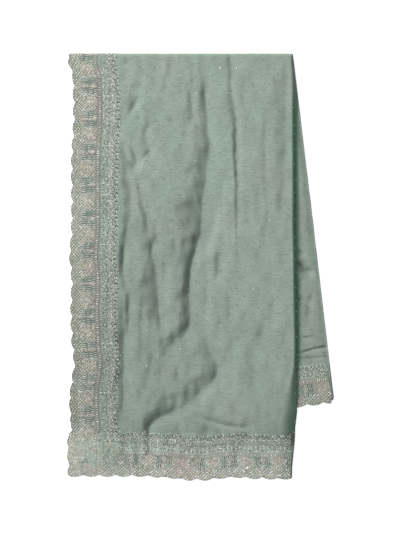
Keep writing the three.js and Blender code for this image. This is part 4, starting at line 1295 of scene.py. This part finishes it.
def sew(name, work, place, surface):
    """Turns needlework into one piece: each stitch a low ridge, each bead a small dome."""
    hand = work.hand
    s0, d0, s1, d1, colour, width, height = np.concatenate(work.stitches).T
    a, b = np.stack(place(s0, d0), -1), np.stack(place(s1, d1), -1)
    jitter = hand.normal(0, 0.12, a.shape)
    a, b = a + jitter, b + jitter
    along = b - a
    side = np.stack([-along[:, 1], along[:, 0]], -1) / np.linalg.norm(along, axis=1)[:, None]
    width = width * hand.uniform(0.88, 1.12, len(width))
    body = []
    for t in (0, 1):
        for w, h in ((-0.5, -0.1), (0, 1), (0.5, -0.1)):
            xy = a + along * t + side * (w * width)[:, None]
            body.append(surface(xy[:, 0], xy[:, 1], h * height if h > 0 else h))
    points = [np.stack(body, 1).reshape(-1, 3)]
    start = np.arange(len(width))[:, None] * 6
    faces = [start + np.array((0, 3, 4, 1)), start + np.array((1, 4, 5, 2))]
    marks = [colour, colour]
    if work.beads:
        s, d, colour, radius, height = np.concatenate(work.beads).T
        centre = np.stack(place(s, d), -1) + hand.normal(0, 0.1, (len(s), 2))
        body = []
        for reach, h in ((1, -0.1), (0.7, 0.75)):
            for t in np.arange(bead_sides) * 2 * math.pi / bead_sides:
                xy = centre + np.stack([np.cos(t) * reach * radius, np.sin(t) * reach * radius], -1)
                body.append(surface(xy[:, 0], xy[:, 1], h * height))
        start = len(points[0]) + np.arange(len(s))[:, None] * 2 * bead_sides
        points.append(np.stack(body, 1).reshape(-1, 3))
        for k in range(bead_sides):
            m = (k + 1) % bead_sides
            faces.append(start + np.array([k, m, m + bead_sides, k + bead_sides]))
        faces.append(start + np.arange(bead_sides, 2 * bead_sides))
        marks += [colour] * (bead_sides + 1)
    points = np.vstack(points)
    low, size = points[:, :2].min(0), np.ptp(points[:, :2], axis=0)
    piece = new_piece(name, points, [f for block in faces for f in block.tolist()], threads,
                      {"OFBake": (points[:, :2] - low) / size}, marks=np.concatenate(marks))
    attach(piece, "root")
    return piece


def keep_inside(work, inside):
    """Leaves out the stitches and beads whose middle isn't in the border."""
    rows = np.concatenate(work.stitches)
    work.stitches = [rows[inside((rows[:, 0] + rows[:, 2]) / 2, (rows[:, 1] + rows[:, 3]) / 2)]]
    if work.beads:
        rows = np.concatenate(work.beads)
        work.beads = [rows[inside(rows[:, 0], rows[:, 1])]]


def side_place(s, d):
    y = side_notch - s
    return side_x(np.minimum(y, turn_y)) + d, y


def hem_place(s, d):
    x = hem_notch + s
    return x, hem_crest(x) + d


def back_place(s, d):
    return from_back(back_notch - s, back_length - d)


def on_back_xy(x, y, proud):
    u, v = to_back(x, y)
    return on_back(u, v, proud)


def in_side_border(s, d):
    y = side_notch - s
    return (y < turn_end - 5) & (y > np.where(d < 26, corner_top + 14, hem_seam_y - 22))


side_work = Needlework(3)
# Dark thread in the scallop edges, most in the low ones, is painted shade.
side_edge_shade = dict.fromkeys(range(-2, 24), 0.3)
side_edge_shade.update({5: 0.5, 6: 0.5, 11: 0.5, 17: 0.5, 18: 0.85, 19: 0.8, 20: 0.85, 21: 0.75})
work_border(side_work, side_pitch, -2, 24, side_ladder, side_inner, side_edge_shade)
work_edge(side_work, side_pitch, 24, 20)
keep_inside(side_work, in_side_border)
side_embroidery = sew("side_border_embroidery", side_work, side_place, on_front)


def in_hem_border(s, d):
    x = hem_notch + s
    return (x > border_seam_x - 2) & (x < fold_x(-460) - 7)


hem_work = Needlework(4)
# An even share of dark thread in the scallop edges is painted shade.
even_edge_shade = dict.fromkeys(range(-1, 13), 0.15)
work_border(hem_work, hem_pitch, 2, 13, hem_ladder, hem_inner, even_edge_shade, hem=True, bright=1.5)
keep_inside(hem_work, in_hem_border)
# The hem has less gold than the side border, and one stretch of it was worked from a rosier reel.
hem_stitches, hem_hand = hem_work.stitches[0], hem_work.hand
paler = (hem_stitches[:, 4] == GOLD) & (hem_hand.random(len(hem_stitches)) < 0.55)
hem_stitches[paler, 4] = SILVER
rosy = 0.75 * bump(hem_stitches[:, 0] - 243, 38) > hem_hand.random(len(hem_stitches))
hem_stitches[rosy & (hem_stitches[:, 1] < 60), 4] = PINK
# A large mirror bead, sewn on by its dark setting.
mirror_place = (402.6, 27)
hem_work.bead(*mirror_place, BEAD, 3.9, 1.7)
hem_work.ring(*mirror_place, 4.4, 4.4, SILVER, 12, 1.2, 0.9)
hem_work.stitch([397.5, 399], [31, 33], [399.5, 403], [34, 34], DARK, 1.6, 0.7)
hem_embroidery = sew("hem_border_embroidery", hem_work, hem_place, on_front)

# The corner, where both borders meet: a close net all over, thinner towards the middle of
# the cloth, with a ladder, a cluster of beads and small flowers.
corner_work = Needlework(6)
corner_hand = corner_work.hand
for n in (-1, 0, 1, 2):
    work_edge(corner_work, hem_pitch, n, 106, open_from=200)


def in_corner_net(s, d):
    x = hem_notch + s
    thin = smooth((s - 26) / 14) * smooth((d - 22) / 10) * smooth((92 - s) / 10)
    return (x < border_seam_x) & (x > corner_left + 3) & (corner_hand.random(len(s)) > 0.5 * thin)


keep_inside(corner_work, in_corner_net)
count = 420
s, d = corner_hand.uniform(30, 88, count), corner_hand.uniform(24, 105, count)
turn = np.where(corner_hand.random(count) < 0.6, 1.45, 0.3) + corner_hand.normal(0, 0.3, count)
tint = corner_hand.choice([SILVER, GREEN, GREEN, GREEN, GOLD], count)
corner_work.stitch(s, d, s + 3.4 * np.cos(turn), d + 3.4 * np.sin(turn), tint, 1.3, 0.5)
for rail in (33, 40):
    corner_work.line([rail, rail], [22, 106], ROSE, 3.0, 0.9, 0.5)
rungs = np.arange(24, 106, 4.6)
corner_work.stitch(34, rungs, 39.5, rungs, SILVER, 1.5, 0.55)
for s, d, petal in ((12, 28, 5.5), (20, 74, 5), (66, 84, 4.5)):
    work_flower(corner_work, s, d, petal, 6, 8)
for row in range(3):
    at = np.arange(-25 + row, 2, 4.2)
    corner_work.bead(at, 47 - 4 * row + corner_hand.normal(0, 0.7, len(at)), BEAD, 1.5, 1.1)
    corner_work.stitch(at + 6 + 3 * row, 44 - 4 * row, at + 9 + 3 * row, 42.5 - 4 * row, DARK, 1.5, 0.9)
for middle, reach in ((54, 9), (74, 7)):
    at = np.linspace(30, 100, 24)
    corner_work.line(middle + reach * np.sin(at / 9), at, SILVER, 2.7, 1.0, 0.6)
corner_embroidery = sew("corner_embroidery", corner_work, hem_place, on_front)

# The second layer's edge is overcast too.
under_work = Needlework(8)
for n in range(-1, 24):
    s = n * side_pitch + np.arange(0.5, overcast) * side_pitch / overcast
    e = scallop_depth * (2 * (s / side_pitch - n) - 1) ** 2
    tint = under_work.hand.choice([SILVER, GOLD, DARK], overcast)
    under_work.stitch(s, e + 0.2, s, e + 3.2, tint, 1.1, 0.5)


def under_place(s, d):
    y = side_notch + under_lag - s
    return side_x(y) + read_line(under_slip, y) + d, y


def on_under(x, y, proud):
    return on_front(x, y, proud - cloth_thickness - layer_gap - edge_droop)


def in_under_border(s, d):
    y = side_notch + under_lag - s
    return (y < under_top - 1) & (y > under_low + 3)


keep_inside(under_work, in_under_border)
under_embroidery = sew("second_layer_embroidery", under_work, under_place, on_under)


def in_back_border(s, d):
    u = back_notch - s
    x, y = from_back(u, back_length - d)
    return (u < -6.5) & (u > -110) & (x > fold_x(y) - 4)


back_work = Needlework(5)
work_border(back_work, back_pitch, -1, 4, back_ladder, back_inner, even_edge_shade, hem=True)
keep_inside(back_work, in_back_border)
back_embroidery = sew("back_hem_embroidery", back_work, back_place, on_back_xy)

# ---- Sequins ----
# Small silver sequins all over the field in a half-drop repeat, each tipped its own way,
# with a loose row of brighter ones along the side fold.

sequin_radius = 1.15
sequin_sides = 9
sequin_foil = thread_material("sequin_foil", srgb(158, 166, 159), 0.3, 0.6)
sequin_shade = thread_material("sequin_shade", srgb(84, 98, 88), 0.4, 0.2)
bright_share = 0.35
layout_from, layout_size = -600, 1300


def sequins(name, centres, surface, seed, fold_from):
    """Cupped discs with a small hole. From number fold_from on, along the side fold, all shine."""
    hand = np.random.default_rng(seed)
    count = len(centres)
    tip = hand.normal(0, 0.24, (count, 2))
    body = []
    for reach, lift, thickness in ((0.25, 0.22, 0.15), (0.8, 0.3, 0.15), (1.0, 0.42, 0.15), (1.0, 0.25, 0)):
        for t in np.arange(sequin_sides) * 2 * math.pi / sequin_sides:
            offset = np.array([math.cos(t), math.sin(t)]) * reach * sequin_radius
            xy = centres + offset
            body.append(surface(xy[:, 0], xy[:, 1], lift + (offset * tip).sum(1) + thickness))
    points = np.stack(body, 1).reshape(-1, 3)
    faces = []
    start = np.arange(count)[:, None] * 4 * sequin_sides
    for k in range(sequin_sides):
        m = (k + 1) % sequin_sides
        for near in (0, sequin_sides, 2 * sequin_sides):
            far = near + sequin_sides
            faces.append(start + np.array([k + near, k + far, m + far, m + near]))
    # Off the side fold most sequins take the dark copy of the foil: painted shade for those that catch no
    # light.
    painted_dark = (hand.random(count) > bright_share) & (np.arange(count) < fold_from)
    return new_piece(name, points, np.vstack(faces).tolist(), [sequin_foil, sequin_shade],
                     {"OFBake": (points[:, :2] - layout_from) / layout_size}, marks=np.tile(painted_dark, len(faces)))


repeat_x, repeat_y = 20, 41.5


def half_drop(first, columns, rows, seed):
    """Places in a half-drop repeat from a first one, each a little off."""
    i, j = np.meshgrid(columns, rows)
    places = np.stack([first[0] + i * repeat_x, first[1] + j * repeat_y + (i % 2) * repeat_y / 2], -1)
    places = places.reshape(-1, 2)
    return places + np.random.default_rng(seed).normal(0, 1.0, places.shape)


places = half_drop((9.0, 155), np.arange(-9, 12), np.arange(-10, 14), 11)
x, y = places.T
keep = (x > border_seam_x + 6) & (x < fold_x(y) - 12) & (y > hem_seam_y + 6) & (y < turn_end - 4)
fold_hand = np.random.default_rng(19)
fold_y = 415 - np.cumsum(fold_hand.uniform(12, 46, 28))
row_inset = 3.2
fold_places = np.stack([fold_x(fold_y) - row_inset + fold_hand.normal(0, 0.7, len(fold_y)), fold_y], -1)
front_sequins = sequins("front_sequins", np.vstack([places[keep], fold_places]), on_front, 12, keep.sum())
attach(front_sequins, "root")

u, v = half_drop((-12, 30), -np.arange(0, 8), np.arange(0, 19), 13).T
x, y = from_back(u, v)
keep = (x > fold_x(y) + 2) & (v < back_seam - 6)
back_sequins = sequins("back_sequins", np.stack([x, y], -1)[keep], on_back_xy, 14, keep.sum())
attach(back_sequins, "root")
